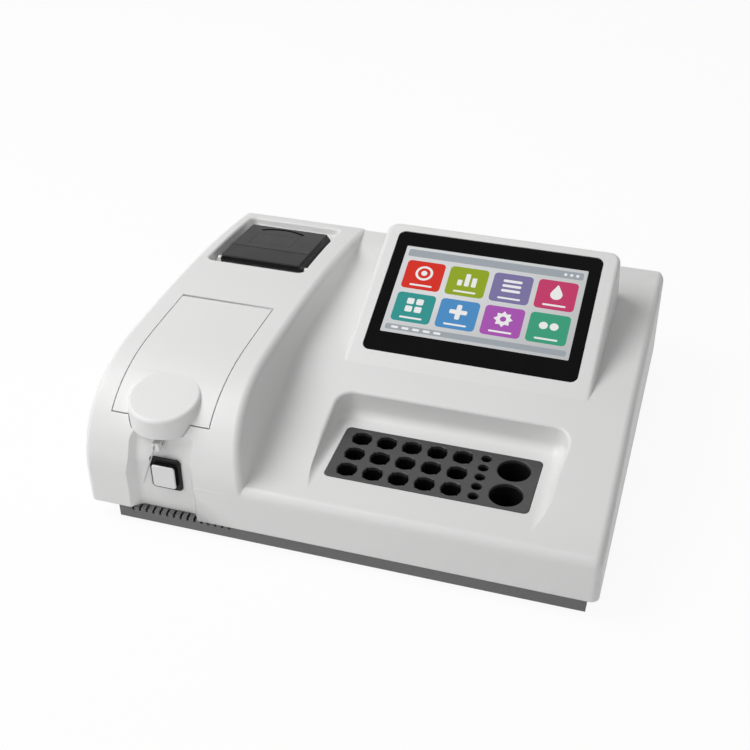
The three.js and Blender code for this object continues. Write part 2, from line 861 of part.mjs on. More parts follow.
// Top casing
function makeShell() {
  const below = footHeight - overrun;
  const outside = join(blockBody(0, casingBottom), deckBody(0, casingBottom), consoleBody(0));
  const hollow = join(blockBody(wall, below), deckBody(wall, below), consoleBody(wall));
  const lidFrame = common(cut(blockBody(0, casingBottom), blockBody(lidSeat + wall, below)),
    boxShape(lidLeft - runGap - wall, lidRight + runGap + wall, lidFront - wall, lidBack,
      shelfTop, crownHeight + overrun));
  const shelf = boxShape(bayLeft - wall, bayRight + wall, 0, tubFront + tubWall, shelfTop - wall, shelfTop);
  const rail = boxShape(lidLeft - pinLug - wall, lidRight + pinLug + wall, railFront, lidBack + runGap + wall,
    hingeZ - barrelRadius - runGap - wall, crownHeight + overrun);
  const extras = [
    pocketBody(wall, pocketFloor - wall),
    channelBody(wall, casingBottom, shelfTop),
    printerRecess(wall),
    shelf,
    rail,
  ].map((item) => common(outside, item));
  return join(cut(outside, hollow), lidFrame, ...extras, makeFlange(outside), makeWindowFrame());
}

// The rim under the casing that sits on the base tray, with a boss for a screw in each corner.
function makeFlange(outside) {
  const x0 = baseLeft + ledgeLap;
  const x1 = baseRight - ledgeLap;
  const y0 = baseFront + ledgeLap;
  const y1 = baseBack - ledgeLap;
  const gusset = postInset + postRadius + wall;
  const opening = [[x0 + gusset, y0], [x1 - gusset, y0], [x1, y0 + gusset], [x1, y1 - gusset],
    [x1 - gusset, y1], [x0 + gusset, y1], [x0, y1 - gusset], [x0, y0 + gusset]];
  const rim = common(outside, boxShape(0, bodyWidth, 0, bodyDepth, casingBottom, casingBottom + wall));
  const bosses = screwPlaces.map(([x, y]) => (
    rodZ(x, y, floorTop + seatGap, casingBottom + wall, postRadius)));
  const holes = screwPlaces.map(([x, y]) => (
    rodZ(x, y, floorTop - overrun, footHeight + screwLength + seatGap, screwRadius + seatGap, smallSides)));
  const frame = cut(rim, prismZ(opening, casingBottom - overrun, casingBottom + wall + overrun));
  return cut(join(frame, ...bosses), ...holes);
}

function makeWindowFrame() {
  const x0 = glassLeft - windowFrame;
  const x1 = glassLeft + glassWidth + windowFrame;
  const y0 = glassStart - windowFrame;
  const y1 = glassStart + glassLength + windowFrame;
  return consoleBox(x0, x1, y0, y1, -wall - sheetBelow, -wall / 2);
}

function lcdOutline(grow) {
  const middleX = glassLeft + glassWidth / 2;
  const middleY = glassStart + glassLength / 2;
  return [middleX - lcdWidth / 2 - grow, middleX + lcdWidth / 2 + grow,
    middleY - lcdLength / 2 - grow, middleY + lcdLength / 2 + grow];
}

function glassPrism(grow, z0, z1) {
  return prismZ(roundRect(glassLeft - grow, glassLeft + glassWidth + grow, glassStart - grow,
    glassStart + glassLength + grow, glassCorner + grow), z0, z1);
}

function plateOutline(grow) {
  return roundRect(plateLeft - grow, plateLeft + plateWidth + grow, plateFront - grow,
    plateFront + plateLength + grow, plateCorner + grow);
}

function keyOutline(grow, round = keyRound) {
  return roundRect(keyX - keyWidth / 2 - grow, keyX + keyWidth / 2 + grow,
    keyZ - keyHeight / 2 - grow, keyZ + keyHeight / 2 + grow, round + grow);
}

function makeTopCasing() {
  const high = crownHeight + overrun;
  const posts = [keyX - bezelWidth / 2, keyX + bezelWidth / 2].map((x) => (
    rodY(x, channelDepth + wall / 2, switchBoardY - seatGap, keyZ, switchPostRadius, smallSides)));
  const lidRecess = cut(lidZone(runGap), blockBody(lidSeat, footHeight));
  const lidOpening = boxShape(bayLeft, bayRight, tubFront + tubWall, railFront, shelfTop, high);
  const hingeBore = rodX(lidLeft - pinLug - seatGap, lidRight + pinLug + seatGap, hingeY, hingeZ,
    pinRadius + seatGap, smallSides);
  const hingeSocket = rodX(lidLeft - runGap, lidRight + runGap, hingeY, hingeZ, barrelRadius + runGap);
  const bucketOpening = bucketBox(seatGap, bayDepth).applyMatrix4(printerFrame);
  const [x0, x1, y0, y1] = lcdOutline(seatGap);
  const casing = cut(
    join(makeShell(), ...posts),
    pocketBody(0, pocketFloor),
    channelBody(0, casingBottom - overrun, shelfTop - wall),
    printerRecess(0),
    bucketOpening,
    lidRecess,
    lidOpening,
    hingeBore,
    hingeSocket,
    bossBody(bossGap),
    glassPrism(seatGap, -glassThickness - 2 * seatGap, overrun).applyMatrix4(consoleFrame),
    consoleBox(x0, x1, y0, y1, -wall - overrun, overrun),
    prismZ(plateOutline(seatGap), pocketFloor - wall - overrun, pocketFloor + overrun),
    prismY(keyOutline(keySlack), 0, channelBack + overrun),
    rodY(needleTop[0], 0, tubFront, spigotZ, sipperSpigot + seatGap, smallSides),
    boxShape(panelLeft + panelLap, panelLeft + panelWidth - panelLap, panelRear, bodyDepth + overrun,
      panelBottom + panelLap, panelTop - panelLap),
  );
  const doorLugs = [doorLeft - seatGap - wall, doorFoot + seatGap].map((x) => (
    boxShape(x, x + wall, doorHingeY - doorBarrelRadius, doorHingeY + doorBarrelRadius, -wall / 2,
      doorPinHeight + doorBarrelRadius)));
  const doorBore = rodX(doorLeft - seatGap - wall / 2, doorFoot + seatGap + wall / 2, doorHingeY,
    doorPinHeight, pinRadius + seatGap, smallSides);
  return cut(join(casing, join(...doorLugs).transform(printerFrame.elements)),
    doorBore.applyMatrix4(printerFrame));
}

// Sample lid and its pin
function makeSampleLid() {
  const high = crownHeight + overrun;
  const skinZone = common(blockBody(0, footHeight), lidZone(0));
  const plate = cut(skinZone, blockBody(lidThickness, footHeight - overrun),
    boxShape(0, bodyWidth, hingeY, bodyDepth, 0, high));
  const barrel = rodX(lidLeft, lidRight, hingeY, hingeZ, barrelRadius);
  const boss = cut(bossBody(0), bossCore());
  const bossFree = cut(boss, boxShape(0, bodyWidth, bossY + bossRadius - 2 * bossWall, bodyDepth, 0, high));
  return cut(join(plate, barrel, bossFree),
    rodX(lidLeft - overrun, lidRight + overrun, hingeY, hingeZ, pinRadius + seatGap, smallSides));
}

// The hollow inside the lift boss, open downwards.
function bossCore() {
  const front = bossY - bossRadius;
  const back = bossY + bossRadius;
  const outline = [
    [front, 0],
    [back, 0],
    [back, bossBackTop - bossWall],
    [front, bossFrontTop - bossWall],
  ];
  const disc = rodZ(bossX, bossY, 0, crownHeight + overrun, bossRadius - bossWall, 2 * roundSides);
  return common(disc, prismX(outline, bossX - bossRadius, bossX + bossRadius));
}

// Sipper, its needle and the tube to the flow cell
function makeSipperHolder() {
  const body = boxShape(needleTop[0] - sipperWidth / 2, needleTop[0] + sipperWidth / 2, sipperFront,
    channelDepth + overrun, needleTop[2] - sipperHeight + seatGap, needleTop[2] + seatGap);
  const spigot = rodY(needleTop[0], channelDepth, channelDepth + 2 * overrun, spigotZ, sipperSpigot,
    smallSides);
  const bore = rodBetween(needleTip, needleTop, needleRadius + seatGap);
  return cut(join(cut(body, blockBody(-seatGap, footHeight)), spigot), bore);
}

// Suction key
function makeKeyBezel() {
  const outline = roundRect(keyX - bezelWidth / 2, keyX + bezelWidth / 2, keyZ - bezelHeight / 2,
    keyZ + bezelHeight / 2, bezelRound);
  return prismY(outline, channelDepth - bezelThickness, channelDepth - seatGap, [keyOutline(keySlack)]);
}

function makeKeySwitch() {
  const back = switchBoardY;
  const plate = boxShape(keyX - bezelWidth / 2 - switchPostRadius, keyX + bezelWidth / 2 + switchPostRadius,
    back, back + boardThickness, keyZ - switchBoardMargin, keyZ + switchBoardMargin);
  const button = boxShape(keyX - switchThickness, keyX + switchThickness, back - switchThickness,
    back + boardThickness / 2, keyZ - switchThickness, keyZ + switchThickness);
  return join(plate, button);
}

// Sample bay tub under the lid
function makeSampleTub() {
  const under = lidSeat + wall + seatGap;
  const outside = boxShape(bayLeft - seatGap - tubWall, bayRight + seatGap + tubWall, tubFront,
    railFront - seatGap, bayFloor - tubWall, crownHeight);
  const inside = boxShape(bayLeft - seatGap, bayRight + seatGap, tubFront + tubWall,
    railFront - seatGap - tubWall, bayFloor, crownHeight + overrun);
  const shelfSpace = boxShape(0, bodyWidth, 0, tubFront + tubWall + seatGap, shelfTop - wall - seatGap,
    crownHeight);
  const holderHole = boxShape(holderX - holderWidth / 2 - seatGap, holderX + holderWidth / 2 + seatGap,
    pathY - holderWidth / 2 - seatGap, pathY + holderWidth / 2 + seatGap,
    bayFloor - overrun, bayFloor + overrun);
  const tubeHole = rodY(needleTop[0], 0, tubFront + overrun, spigotZ, sampleTubeRadius + seatGap, smallSides);
  const shaftHole = rodZ(pumpX, pumpY, bayFloor - overrun, bayFloor + overrun, pumpShaft + seatGap,
    smallSides);
  const tub = common(outside, blockBody(under, footHeight));
  return cut(tub, inside, shelfSpace, holderHole, tubeHole, shaftHole, wasteHole());
}

function wasteHole() {
  return rodZ(pumpX + tubeLane, wasteBendY, bayFloor - overrun, bayFloor + overrun, tubeRadius + seatGap,
    smallSides);
}

// Photometer
const holderBack = pathY + holderWidth / 2;
const tubeLane = rotorRadius + tubeRadius + seatGap;
const wasteBendY = holderBack + 2 * tubeRadius + overrun;
const tubeHeight = bayFloor + pumpBase + trackHeight / 2;

function makeCellHolder() {
  const half = holderWidth / 2;
  const body = boxShape(holderX - half, holderX + half, pathY - half, pathY + half, pathBench, holderTop);
  const well = boxShape(holderX - cuvetteBore / 2, holderX + cuvetteBore / 2, pathY - cuvetteBore / 2,
    pathY + cuvetteBore / 2, holderTop - cellHeight - cuvetteBore, holderTop + overrun);
  const light = rodX(holderX - holderWidth, holderX + holderWidth, pathY, pathZ, lightBore, smallSides);
  return cut(body, well, light);
}

function makeFlowCell() {
  const half = cellWidth / 2;
  const bottom = holderTop - cellHeight - cuvetteBore + seatGap;
  const body = boxShape(holderX - half, holderX + half, pathY - half, pathY + half, bottom,
    holderTop + cellWidth / 2);
  const port = rodZ(holderX, pathY, holderTop, holderTop + cellWidth, tubeRadius, smallSides);
  return join(body, port);
}

function makeOpticsPlate() {
  return boxShape(opticsLeft, opticsRight, opticsFront, opticsBack, floorTop + seatGap, pathBench - seatGap);
}

function makeDetector() {
  const right = holderX - holderWidth / 2 - seatGap;
  const half = detectorWidth / 2;
  return join(boxShape(right - bracketThickness, right, pathY - half, pathY + half, pathBench, pathZ + half),
    boxShape(right - detectorLength, right, pathY - half, pathY + half, pathZ - half, pathZ + half));
}

const wheelAxisY = pathY + filterCircle;
const wheelRight = wheelLeft + wheelThickness;
const stepperLeft = wheelRight + runGap + bracketThickness + seatGap;

function makeFilterWheel() {
  const disc = rodX(wheelLeft, wheelRight, wheelAxisY, pathZ, wheelRadius);
  const recesses = Array.from({ length: filterCount }, (_, i) => {
    const angle = 2 * Math.PI * i / filterCount;
    const y = wheelAxisY - filterCircle * Math.cos(angle);
    const z = pathZ - filterCircle * Math.sin(angle);
    return rodX(wheelLeft - overrun, wheelLeft + filterRecess, y, z, filterRadius, smallSides);
  });
  const bore = rodX(wheelLeft - overrun, wheelRight + overrun, wheelAxisY, pathZ, stepperShaft + seatGap,
    smallSides);
  return cut(disc, ...recesses, bore);
}

function makeFilterMotor() {
  return join(rodX(stepperLeft, stepperLeft + stepperLength, wheelAxisY, pathZ, stepperRadius),
    rodX(wheelLeft, stepperLeft + stepperShaft, wheelAxisY, pathZ, stepperShaft, smallSides));
}

function makeMotorBracket() {
  const left = wheelRight + runGap;
  const right = left + bracketThickness;
  const front = wheelAxisY - stepperRadius;
  const back = wheelAxisY + stepperRadius;
  const upright = boxShape(left, right, front, back, pathBench, pathZ + stepperRadius);
  const foot = boxShape(left, stepperLeft + stepperLength, front, back, pathBench,
    pathBench + bracketThickness);
  const bore = rodX(left - overrun, right + overrun, wheelAxisY, pathZ, stepperShaft + runGap, smallSides);
  return cut(join(upright, foot), bore);
}

function makeLens() {
  const radius = lensRadius;
  const right = lampHousingLeft - seatGap;
  const bulge = lensThickness / 2;
  const profile = [[0, 0], [radius, 0], [radius, bulge]];
  for (let i = 1; i <= smallSides / 2; i++) {
    const share = i / (smallSides / 2);
    profile.push([radius * Math.cos(share * Math.PI / 2), bulge + bulge * Math.sin(share * Math.PI / 2)]);
  }
  profile[profile.length - 1][0] = 0;
  const geometry = new THREE.LatheGeometry(profile.map((p) => new THREE.Vector2(...p)), roundSides);
  return geometry.rotateZ(Math.PI / 2).translate(right, pathY, pathZ);
}

function makeLampHousing() {
  const half = lampHousingWidth / 2;
  const right = lampHousingLeft + lampHousingLength;
  const body = boxShape(lampHousingLeft, right, pathY - half, pathY + half, pathBench, lampHousingTop);
  const room = boxShape(lampHousingLeft + bracketThickness, right + overrun, pathY - half + bracketThickness,
    pathY + half - bracketThickness, pathBench + bracketThickness, lampHousingTop - bracketThickness);
  const light = rodX(lampHousingLeft - overrun, lampHousingLeft + overrun, pathY, pathZ, lightBore,
    smallSides);
  return cut(body, room, light);
}

function makeLamp() {
  const right = lampHousingLeft + lampHousingLength;
  const glass = rodX(right - lampLength, right - lampRadius, pathY, pathZ, lampRadius, smallSides);
  const half = lampRadius + bracketThickness;
  const socket = boxShape(right - 2 * lampRadius, right, pathY - half, pathY + half,
    pathBench + bracketThickness + seatGap, pathZ + half);
  return join(glass, socket);
}

// Peristaltic pump
function makePumpBody() {
  const bottom = bayFloor + seatGap;
  const top = bottom + pumpBase;
  const disc = rodZ(pumpX, pumpY, bottom, top, pumpRadius, 2 * roundSides);
  const inner = pumpRadius - trackThickness;
  const ring = cut(rodZ(pumpX, pumpY, bottom, top + trackHeight, pumpRadius, 2 * roundSides),
    rodZ(pumpX, pumpY, top, top + trackHeight + overrun, inner, 2 * roundSides));
  const mouth = boxShape(pumpX - tubeLane - 2 * tubeRadius, pumpX + tubeLane + 2 * tubeRadius,
    pumpY - 2 * pumpRadius, pumpY - rotorRadius / 2, top, top + trackHeight + overrun);
  const shaft = rodZ(pumpX, pumpY, bottom - overrun, top + overrun, pumpShaft + seatGap, smallSides);
  return cut(join(disc, cut(ring, mouth)), shaft);
}

function makePumpRotor() {
  const low = bayFloor + seatGap + pumpBase + runGap;
  const high = bayFloor + seatGap + pumpBase + trackHeight;
  const plates = [low, high - rotorPlate].map((z) => (
    rodZ(pumpX, pumpY, z, z + rotorPlate, rotorRadius - rollerRadius)));
  const rollers = Array.from({ length: rollerCount }, (_, i) => {
    const angle = 2 * Math.PI * i / rollerCount;
    const reach = rotorRadius - rollerRadius;
    return rodZ(pumpX + reach * Math.cos(angle), pumpY + reach * Math.sin(angle), low + rotorPlate / 2,
      high - rotorPlate / 2, rollerRadius, smallSides);
  });
  const core = rodZ(pumpX, pumpY, low, high, 2 * pumpShaft, smallSides);
  const bore = rodZ(pumpX, pumpY, low - overrun, high - rotorPlate, pumpShaft + seatGap, smallSides);
  return cut(join(...plates, ...rollers, core), bore);
}

function makePumpMotor() {
  const top = bayFloor - tubWall - seatGap;
  return join(rodZ(pumpX, pumpY, top - pumpMotorLength, top, pumpMotorRadius),
    rodZ(pumpX, pumpY, top - overrun, bayFloor + pumpBase + trackHeight / 2, pumpShaft, smallSides));
}

// The share of the radius at which a curve's middle points make a quarter circle.
const quarterShare = 4 / 3 * Math.tan(Math.PI / 8);

// The pump tube: from the holder back to the rotor, round it, forward again and down to the waste.
function makePumpTube() {
  const path = new THREE.CurvePath();
  const at = (x, y, z) => new THREE.Vector3(x, y, z);
  const z = tubeHeight;
  const start = at(pumpX - tubeLane, holderBack + seatGap, z);
  const bend = 2 * tubeRadius;
  path.add(new THREE.LineCurve3(start, at(pumpX - tubeLane, pumpY, z)));
  const reach = quarterShare * tubeLane;
  path.add(new THREE.CubicBezierCurve3(at(pumpX - tubeLane, pumpY, z), at(pumpX - tubeLane, pumpY + reach, z),
    at(pumpX - reach, pumpY + tubeLane, z), at(pumpX, pumpY + tubeLane, z)));
  path.add(new THREE.CubicBezierCurve3(at(pumpX, pumpY + tubeLane, z), at(pumpX + reach, pumpY + tubeLane, z),
    at(pumpX + tubeLane, pumpY + reach, z), at(pumpX + tubeLane, pumpY, z)));
  path.add(new THREE.LineCurve3(at(pumpX + tubeLane, pumpY, z), at(pumpX + tubeLane, wasteBendY + bend, z)));
  path.add(new THREE.QuadraticBezierCurve3(at(pumpX + tubeLane, wasteBendY + bend, z),
    at(pumpX + tubeLane, wasteBendY, z), at(pumpX + tubeLane, wasteBendY, z - bend)));
  path.add(new THREE.LineCurve3(at(pumpX + tubeLane, wasteBendY, z - bend),
    at(pumpX + tubeLane, wasteBendY, bayFloor - tubWall - overrun)));
  const section = outlineShape(circle(0, 0, tubeRadius, leastSides));
  return new THREE.ExtrudeGeometry(section, { steps: tubeSteps, extrudePath: path, bevelEnabled: false });
}

// Incubator
function wellOutline(x, y) {
  return Array.from({ length: wellSides }, (_, i) => {
    const angle = 2 * Math.PI * i / wellSides;
    const square = wellSquare / 2 / Math.max(Math.abs(Math.cos(angle)), Math.abs(Math.sin(angle)));
    const radius = Math.max(wellDiameter / 2, square);
    return [x + radius * Math.cos(angle), y + radius * Math.sin(angle)];
  });
}

function wellOutlines() {
  const outlines = [];
  for (let column = 0; column < wellColumns; column++) {
    for (let row = 0; row < wellRows; row++) {
      outlines.push(wellOutline(plateLeft + firstWellX + column * wellPitchX,
        plateFront + firstWellY + row * wellPitchY));
    }
  }
  for (let i = 0; i < smallWells; i++) {
    outlines.push(circle(plateLeft + smallWellX, plateFront + smallWellY + i * smallWellPitch,
      smallWellDiameter / 2, leastSides));
  }
  for (let i = 0; i < largeWells; i++) {
    outlines.push(circle(plateLeft + largeWellX, plateFront + largeWellY + i * largeWellPitch,
      largeWellDiameter / 2));
  }
  return outlines;
}

function makeIncubatorPlate() {
  return prismZ(plateOutline(0), plateTop - plateThickness, plateTop, wellOutlines());
}

function makeIncubatorBlock() {
  const bottom = blockTop - incubatorHeight;
  const upper = prismZ(plateOutline(-blockMargin), bottom + wellFloor, blockTop, wellOutlines());
  return join(upper, prismZ(plateOutline(-blockMargin), bottom, bottom + wellFloor));
}

function makeHeater() {
  const top = blockTop - incubatorHeight - seatGap;
  return prismZ(plateOutline(-2 * blockMargin), top - heaterThickness, top);
}

// A bent sheet stand: two feet, two uprights and the table that carries the heater.
function makeIncubatorStand() {
  const top = blockTop - incubatorHeight - heaterThickness - 2 * seatGap;
  const x0 = plateLeft;
  const x1 = plateLeft + plateWidth;
  const bottom = floorTop + seatGap;
  const lip = 3 * standSheet;
  const profile = [
    [x0 - lip, bottom], [x0 + standSheet, bottom], [x0 + standSheet, top - standSheet],
    [x1 - standSheet, top - standSheet], [x1 - standSheet, bottom], [x1 + lip, bottom],
    [x1 + lip, bottom + standSheet], [x1, bottom + standSheet], [x1, top], [x0, top],
    [x0, bottom + standSheet], [x0 - lip, bottom + standSheet],
  ];
  return prismY(profile, plateFront, plateFront + plateLength);
}

// Printer, in its own frame
function makePrinterBody() {
  const top = -wall - seatGap;
  const tub = cut(bucketBox(bucketWall + seatGap, top), bucketBox(0, overrun));
  const flange = bucketWall + seatGap + wall;
  const rim = cut(boxShape(doorLeft + bucketInset - flange, doorLeft + doorWidth - bucketInset + flange,
    doorFront + 2 * bucketInset - flange, doorFront + doorLength - bucketInset + flange,
    top - bucketWall, top), bucketBox(0, overrun));
  const middle = doorLeft + doorWidth / 2;
  const arm = boxShape(doorLeft + bucketInset, doorLeft + doorWidth - bucketInset, platenY - platenRadius,
    doorFront + doorLength - bucketInset, platenZ - headHeight, -wall);
  const armRoom = boxShape(middle - platenWidth / 2 - runGap, middle + platenWidth / 2 + runGap, -bucketDepth,
    bucketDepth + bucketDepth, -bucketDepth, overrun);
  const bores = rodX(middle - platenWidth / 2 - wall - seatGap, middle + platenWidth / 2 + wall + seatGap,
    platenY, platenZ, pinRadius + seatGap, smallSides);
  return cut(join(tub, rim, cut(arm, armRoom)), bores);
}

function makePlaten() {
  const middle = doorLeft + doorWidth / 2;
  const half = platenWidth / 2;
  return join(rodX(middle - half, middle + half, platenY, platenZ, platenRadius),
    rodX(middle - half - wall, middle + half + wall, platenY, platenZ, pinRadius, smallSides));
}

function makePrintHead() {
  const middle = doorLeft + doorWidth / 2;
  const half = platenWidth / 2 - runGap;
  const front = platenY + platenRadius + seatGap;
  return boxShape(middle - half, middle + half, front, front + headThickness, platenZ - headHeight,
    platenZ + platenRadius);
}

function makePaperRoll() {
  const middle = doorLeft + doorWidth / 2;
  const z = -bucketDepth + rollRadius + seatGap;
  return cut(rodX(middle - rollWidth / 2, middle + rollWidth / 2, rollY, z, rollRadius, 2 * roundSides),
    rodX(middle - rollWidth, middle + rollWidth, rollY, z, rollCore));
}

// The door's side profile: a front face, a low crease and a flat run to the rear edge.
function doorProfile(inset) {
  const y0 = doorFront + inset;
  const y1 = doorFront + doorLength - inset;
  const foot = inset ? -overrun : 0;
  return [
    [y0, foot],
    [y0, doorFrontHeight - inset],
    [doorFront + doorCreaseShare * doorLength, doorHeight - inset],
    [y1, doorRearHeight - inset],
    [y1, foot],
  ];
}

// The door seen from the front: upright on its left, with a skirt that leans out on its right.
function doorSection(inset) {
  const x0 = doorLeft + inset;
  const x1 = doorLeft + doorWidth - inset;
  const [bendShare, bendHeightShare] = skirtBendShares;
  return [[x0, -overrun], [x0, doorHeight + overrun], [x1, doorHeight + overrun],
    [x1, doorRearHeight - inset], [x1 + bendShare * doorSkirt, bendHeightShare * doorRearHeight],
    [x1 + doorSkirt, 0], [x1 + doorSkirt, -overrun]];
}

function makePrinterDoor() {
  const lift = runGap / 2;
  const whole = common(prismX(doorProfile(0), doorLeft, doorFoot),
    prismY(doorSection(0), doorFront - overrun, doorFront + doorLength + overrun));
  const hollow = common(prismX(doorProfile(doorWall), doorLeft, doorFoot),
    prismY(doorSection(doorWall), doorFront - overrun, doorFront + doorLength + overrun));
  const skirt = boxShape(doorLeft - overrun, doorFoot + overrun, doorFront - overrun,
    doorFront + doorLength + overrun, -overrun, lift);
  const cornerRoom = cut(
    boxShape(doorLeft - overrun, doorFoot + overrun, doorFront - overrun, doorHingeY,
      -overrun, doorPinHeight),
    rodX(doorLeft - 2 * overrun, doorFoot + 2 * overrun, doorHingeY, doorPinHeight, doorBarrelRadius),
  );
  const barrel = rodX(doorLeft, doorFoot, doorHingeY, doorPinHeight, doorBarrelRadius);
  const bore = rodX(doorLeft - overrun, doorFoot + overrun, doorHingeY, doorPinHeight,
    pinRadius + seatGap, smallSides);
  return cut(join(cut(whole, hollow, skirt, cornerRoom), barrel), bore, makeFingerSlot());
}

// The curved finger slot near the rear edge of the printer door.
function makeFingerSlot() {
  const y = doorFront + doorLength - fingerSlotInset - fingerSlotRadius;
  const half = THREE.MathUtils.degToRad(fingerSlotSweep / 2);
  const right = Math.PI / 2 - half;
  const left = Math.PI / 2 + half;
  const outer = arcPoints(fingerSlotX, y, fingerSlotRadius, right, left, arcSteps);
  const inner = arcPoints(fingerSlotX, y, fingerSlotRadius - fingerSlotWidth, left, right, arcSteps);
  return prismZ([...outer, ...inner], doorRearHeight - doorWall / 2, doorHeight + overrun);
}

// Screen, in the console's frame
function makeGlass() {
  return glassPrism(0, -glassThickness - seatGap, -seatGap);
}

function makeLcd() {
  const top = -glassThickness - 2 * seatGap;
  return boxShape(...lcdOutline(0), top - lcdThickness, top);
}

function makeLcdBracket() {
  const under = -glassThickness - 3 * seatGap - lcdThickness;
  const rimTop = -wall - sheetBelow - seatGap;
  const tray = boxShape(...lcdOutline(seatGap + bracketSheet), under - bracketSheet, rimTop);
  const rim = boxShape(...lcdOutline(bracketFlange), rimTop - bracketSheet, rimTop);
  return cut(join(tray, rim), boxShape(...lcdOutline(seatGap), under, overrun));
}

// Rear panel and what is on it
function switchRoom(grow) {
  return [switchX - switchWidth / 2 - grow, switchX + switchWidth / 2 + grow,
    panelMiddleZ - switchHeight / 2 - grow, panelMiddleZ + switchHeight / 2 + grow];
}

function rectOutline([x0, x1, z0, z1]) {
  return [[x0, z0], [x1, z0], [x1, z1], [x0, z1]];
}

function sideRect(x, z, width, height, grow = 0) {
  return [x - width / 2 - grow, x + width / 2 + grow, z - height / 2 - grow, z + height / 2 + grow];
}

function sideBox(rect, y0, y1) {
  const [x0, x1, z0, z1] = rect;
  return boxShape(x0, x1, y0, y1, z0, z1);
}

function makeRearPanel() {
  const plate = boxShape(panelLeft, panelLeft + panelWidth, panelFront, panelRear, panelBottom, panelTop);
  const through = [panelFront - overrun, panelRear + overrun];
  const openings = [
    sideBox(sideRect(inletX, panelMiddleZ, inletWidth, inletHeight, seatGap), ...through),
    sideBox(switchRoom(seatGap), ...through),
    sideBox(sideRect(usbX, usbZ, usbWidth, usbHeight, seatGap), ...through),
    sideBox(sideRect(serialX, serialZ, serialShellWidth, serialShellHeight, seatGap), ...through),
    rodY(wasteX, ...through, wasteZ, wasteRadius + seatGap, smallSides),
  ];
  const slots = Array.from({ length: grilleSlots }, (_, i) => {
    const offset = (i - (grilleSlots - 1) / 2) * grillePitch;
    const half = Math.sqrt(fanBore ** 2 - offset ** 2) - grilleSlot / 2;
    return sideBox(sideRect(fanX, panelMiddleZ + offset, 2 * half, grilleSlot), ...through);
  });
  return cut(plate, ...openings, ...slots);
}

function makePowerInlet() {
  const rear = bodyDepth + inletFlange;
  const body = sideBox(sideRect(inletX, panelMiddleZ, inletWidth, inletHeight), panelRear - inletDepth, rear);
  const flange = sideBox(sideRect(inletX, panelMiddleZ, inletWidth, inletHeight, inletFlange),
    panelRear + seatGap, rear);
  const room = sideBox(sideRect(inletX, panelMiddleZ, inletWidth, inletHeight, -inletWall),
    panelRear - inletDepth + inletFlange, rear + overrun);
  const pins = [-1, 0, 1].map((side) => sideBox(sideRect(inletX + side * inletWidth / 4,
    panelMiddleZ - inletHeight / 5 + (side ? 0 : pinThickness), pinThickness, pinWidth),
  panelRear - inletDepth + inletFlange / 2, panelRear));
  return join(cut(join(body, flange), room), ...pins);
}

const rockerY = bodyDepth + switchFlange - rockerRadius / 2;

function makeSwitchHousing() {
  const rear = bodyDepth + switchFlange;
  const body = sideBox(switchRoom(0), panelRear - switchDepth, rear);
  const flange = sideBox(switchRoom(switchFlange), panelRear + seatGap, rear);
  const room = sideBox(switchRoom(-switchFlange / 2), panelRear - switchDepth + switchFlange, rear + overrun);
  const reach = switchWidth / 2 - switchFlange / 4;
  const pivot = rodX(switchX - reach, switchX + reach, rockerY, panelMiddleZ, pinRadius, smallSides);
  return join(cut(join(body, flange), room), pivot);
}

function makeRocker() {
  const half = switchHeight / 2 - switchFlange;
  const proud = rockerRadius / 2;
  const turn = THREE.MathUtils.degToRad(rockerSwing / 2);
  const sine = Math.sin(turn);
  const cosine = Math.cos(turn);
  const outline = [[-proud, -half + switchFlange], [proud, -half], [proud / 2, 0], [proud, half],
    [-proud, half - switchFlange]].map(([y, z]) => (
    [rockerY + y * cosine - z * sine, panelMiddleZ + y * sine + z * cosine]));
  const reach = switchWidth / 2 - switchFlange / 2 - seatGap;
  const bore = rodX(switchX - switchWidth, switchX + switchWidth, rockerY, panelMiddleZ,
    pinRadius + seatGap, smallSides);
  return cut(prismX(outline, switchX - reach, switchX + reach), bore);
}

const fanRear = panelFront - seatGap;
const fanFront = fanRear - fanThickness;

function makeFanFrame() {
  const half = fanSize / 2;
  const outline = roundRect(fanX - half, fanX + half, panelMiddleZ - half, panelMiddleZ + half, wall);
  const ring = prismY(outline, fanFront, fanRear, [circle(fanX, panelMiddleZ, fanBore, 2 * roundSides)]);
  const hub = rodY(fanX, fanFront, fanFront + panelSheet, panelMiddleZ, fanHub);
  const struts = Array.from({ length: fanStruts }, (_, i) => {
    const bar = boxShape(0, fanBore + seatGap, fanFront, fanFront + panelSheet,
      -strutWidth / 2, strutWidth / 2);
    return bar.rotateY(2 * Math.PI * i / fanStruts).translate(fanX, 0, panelMiddleZ);
  });
  const spindle = rodY(fanX, fanFront, fanFront + fanHubLength / 2, panelMiddleZ, pumpShaft, smallSides);
  return join(ring, hub, ...struts, spindle);
}

function makeFanRotor() {
  const front = fanFront + panelSheet + runGap;
  const rear = front + fanHubLength;
  const hub = rodY(fanX, front, rear, panelMiddleZ, fanHub);
  const reach = fanBore - runGap;
  const width = fanHubLength - runGap;
  const blades = Array.from({ length: fanBlades }, (_, i) => {
    const blade = boxShape(fanHub / 2, reach, -bladeThickness / 2, bladeThickness / 2, -width / 2, width / 2);
    blade.rotateX(THREE.MathUtils.degToRad(90 - fanBladePitch));
    blade.rotateY(2 * Math.PI * i / fanBlades);
    return blade.translate(fanX, (front + rear) / 2, panelMiddleZ);
  });
  const sweep = rodY(fanX, front, rear, panelMiddleZ, reach, 2 * roundSides);
  const bore = rodY(fanX, front - overrun, fanFront + fanHubLength / 2 + seatGap, panelMiddleZ,
    pumpShaft + seatGap, smallSides);
  return cut(join(hub, common(join(...blades), sweep)), bore);
}

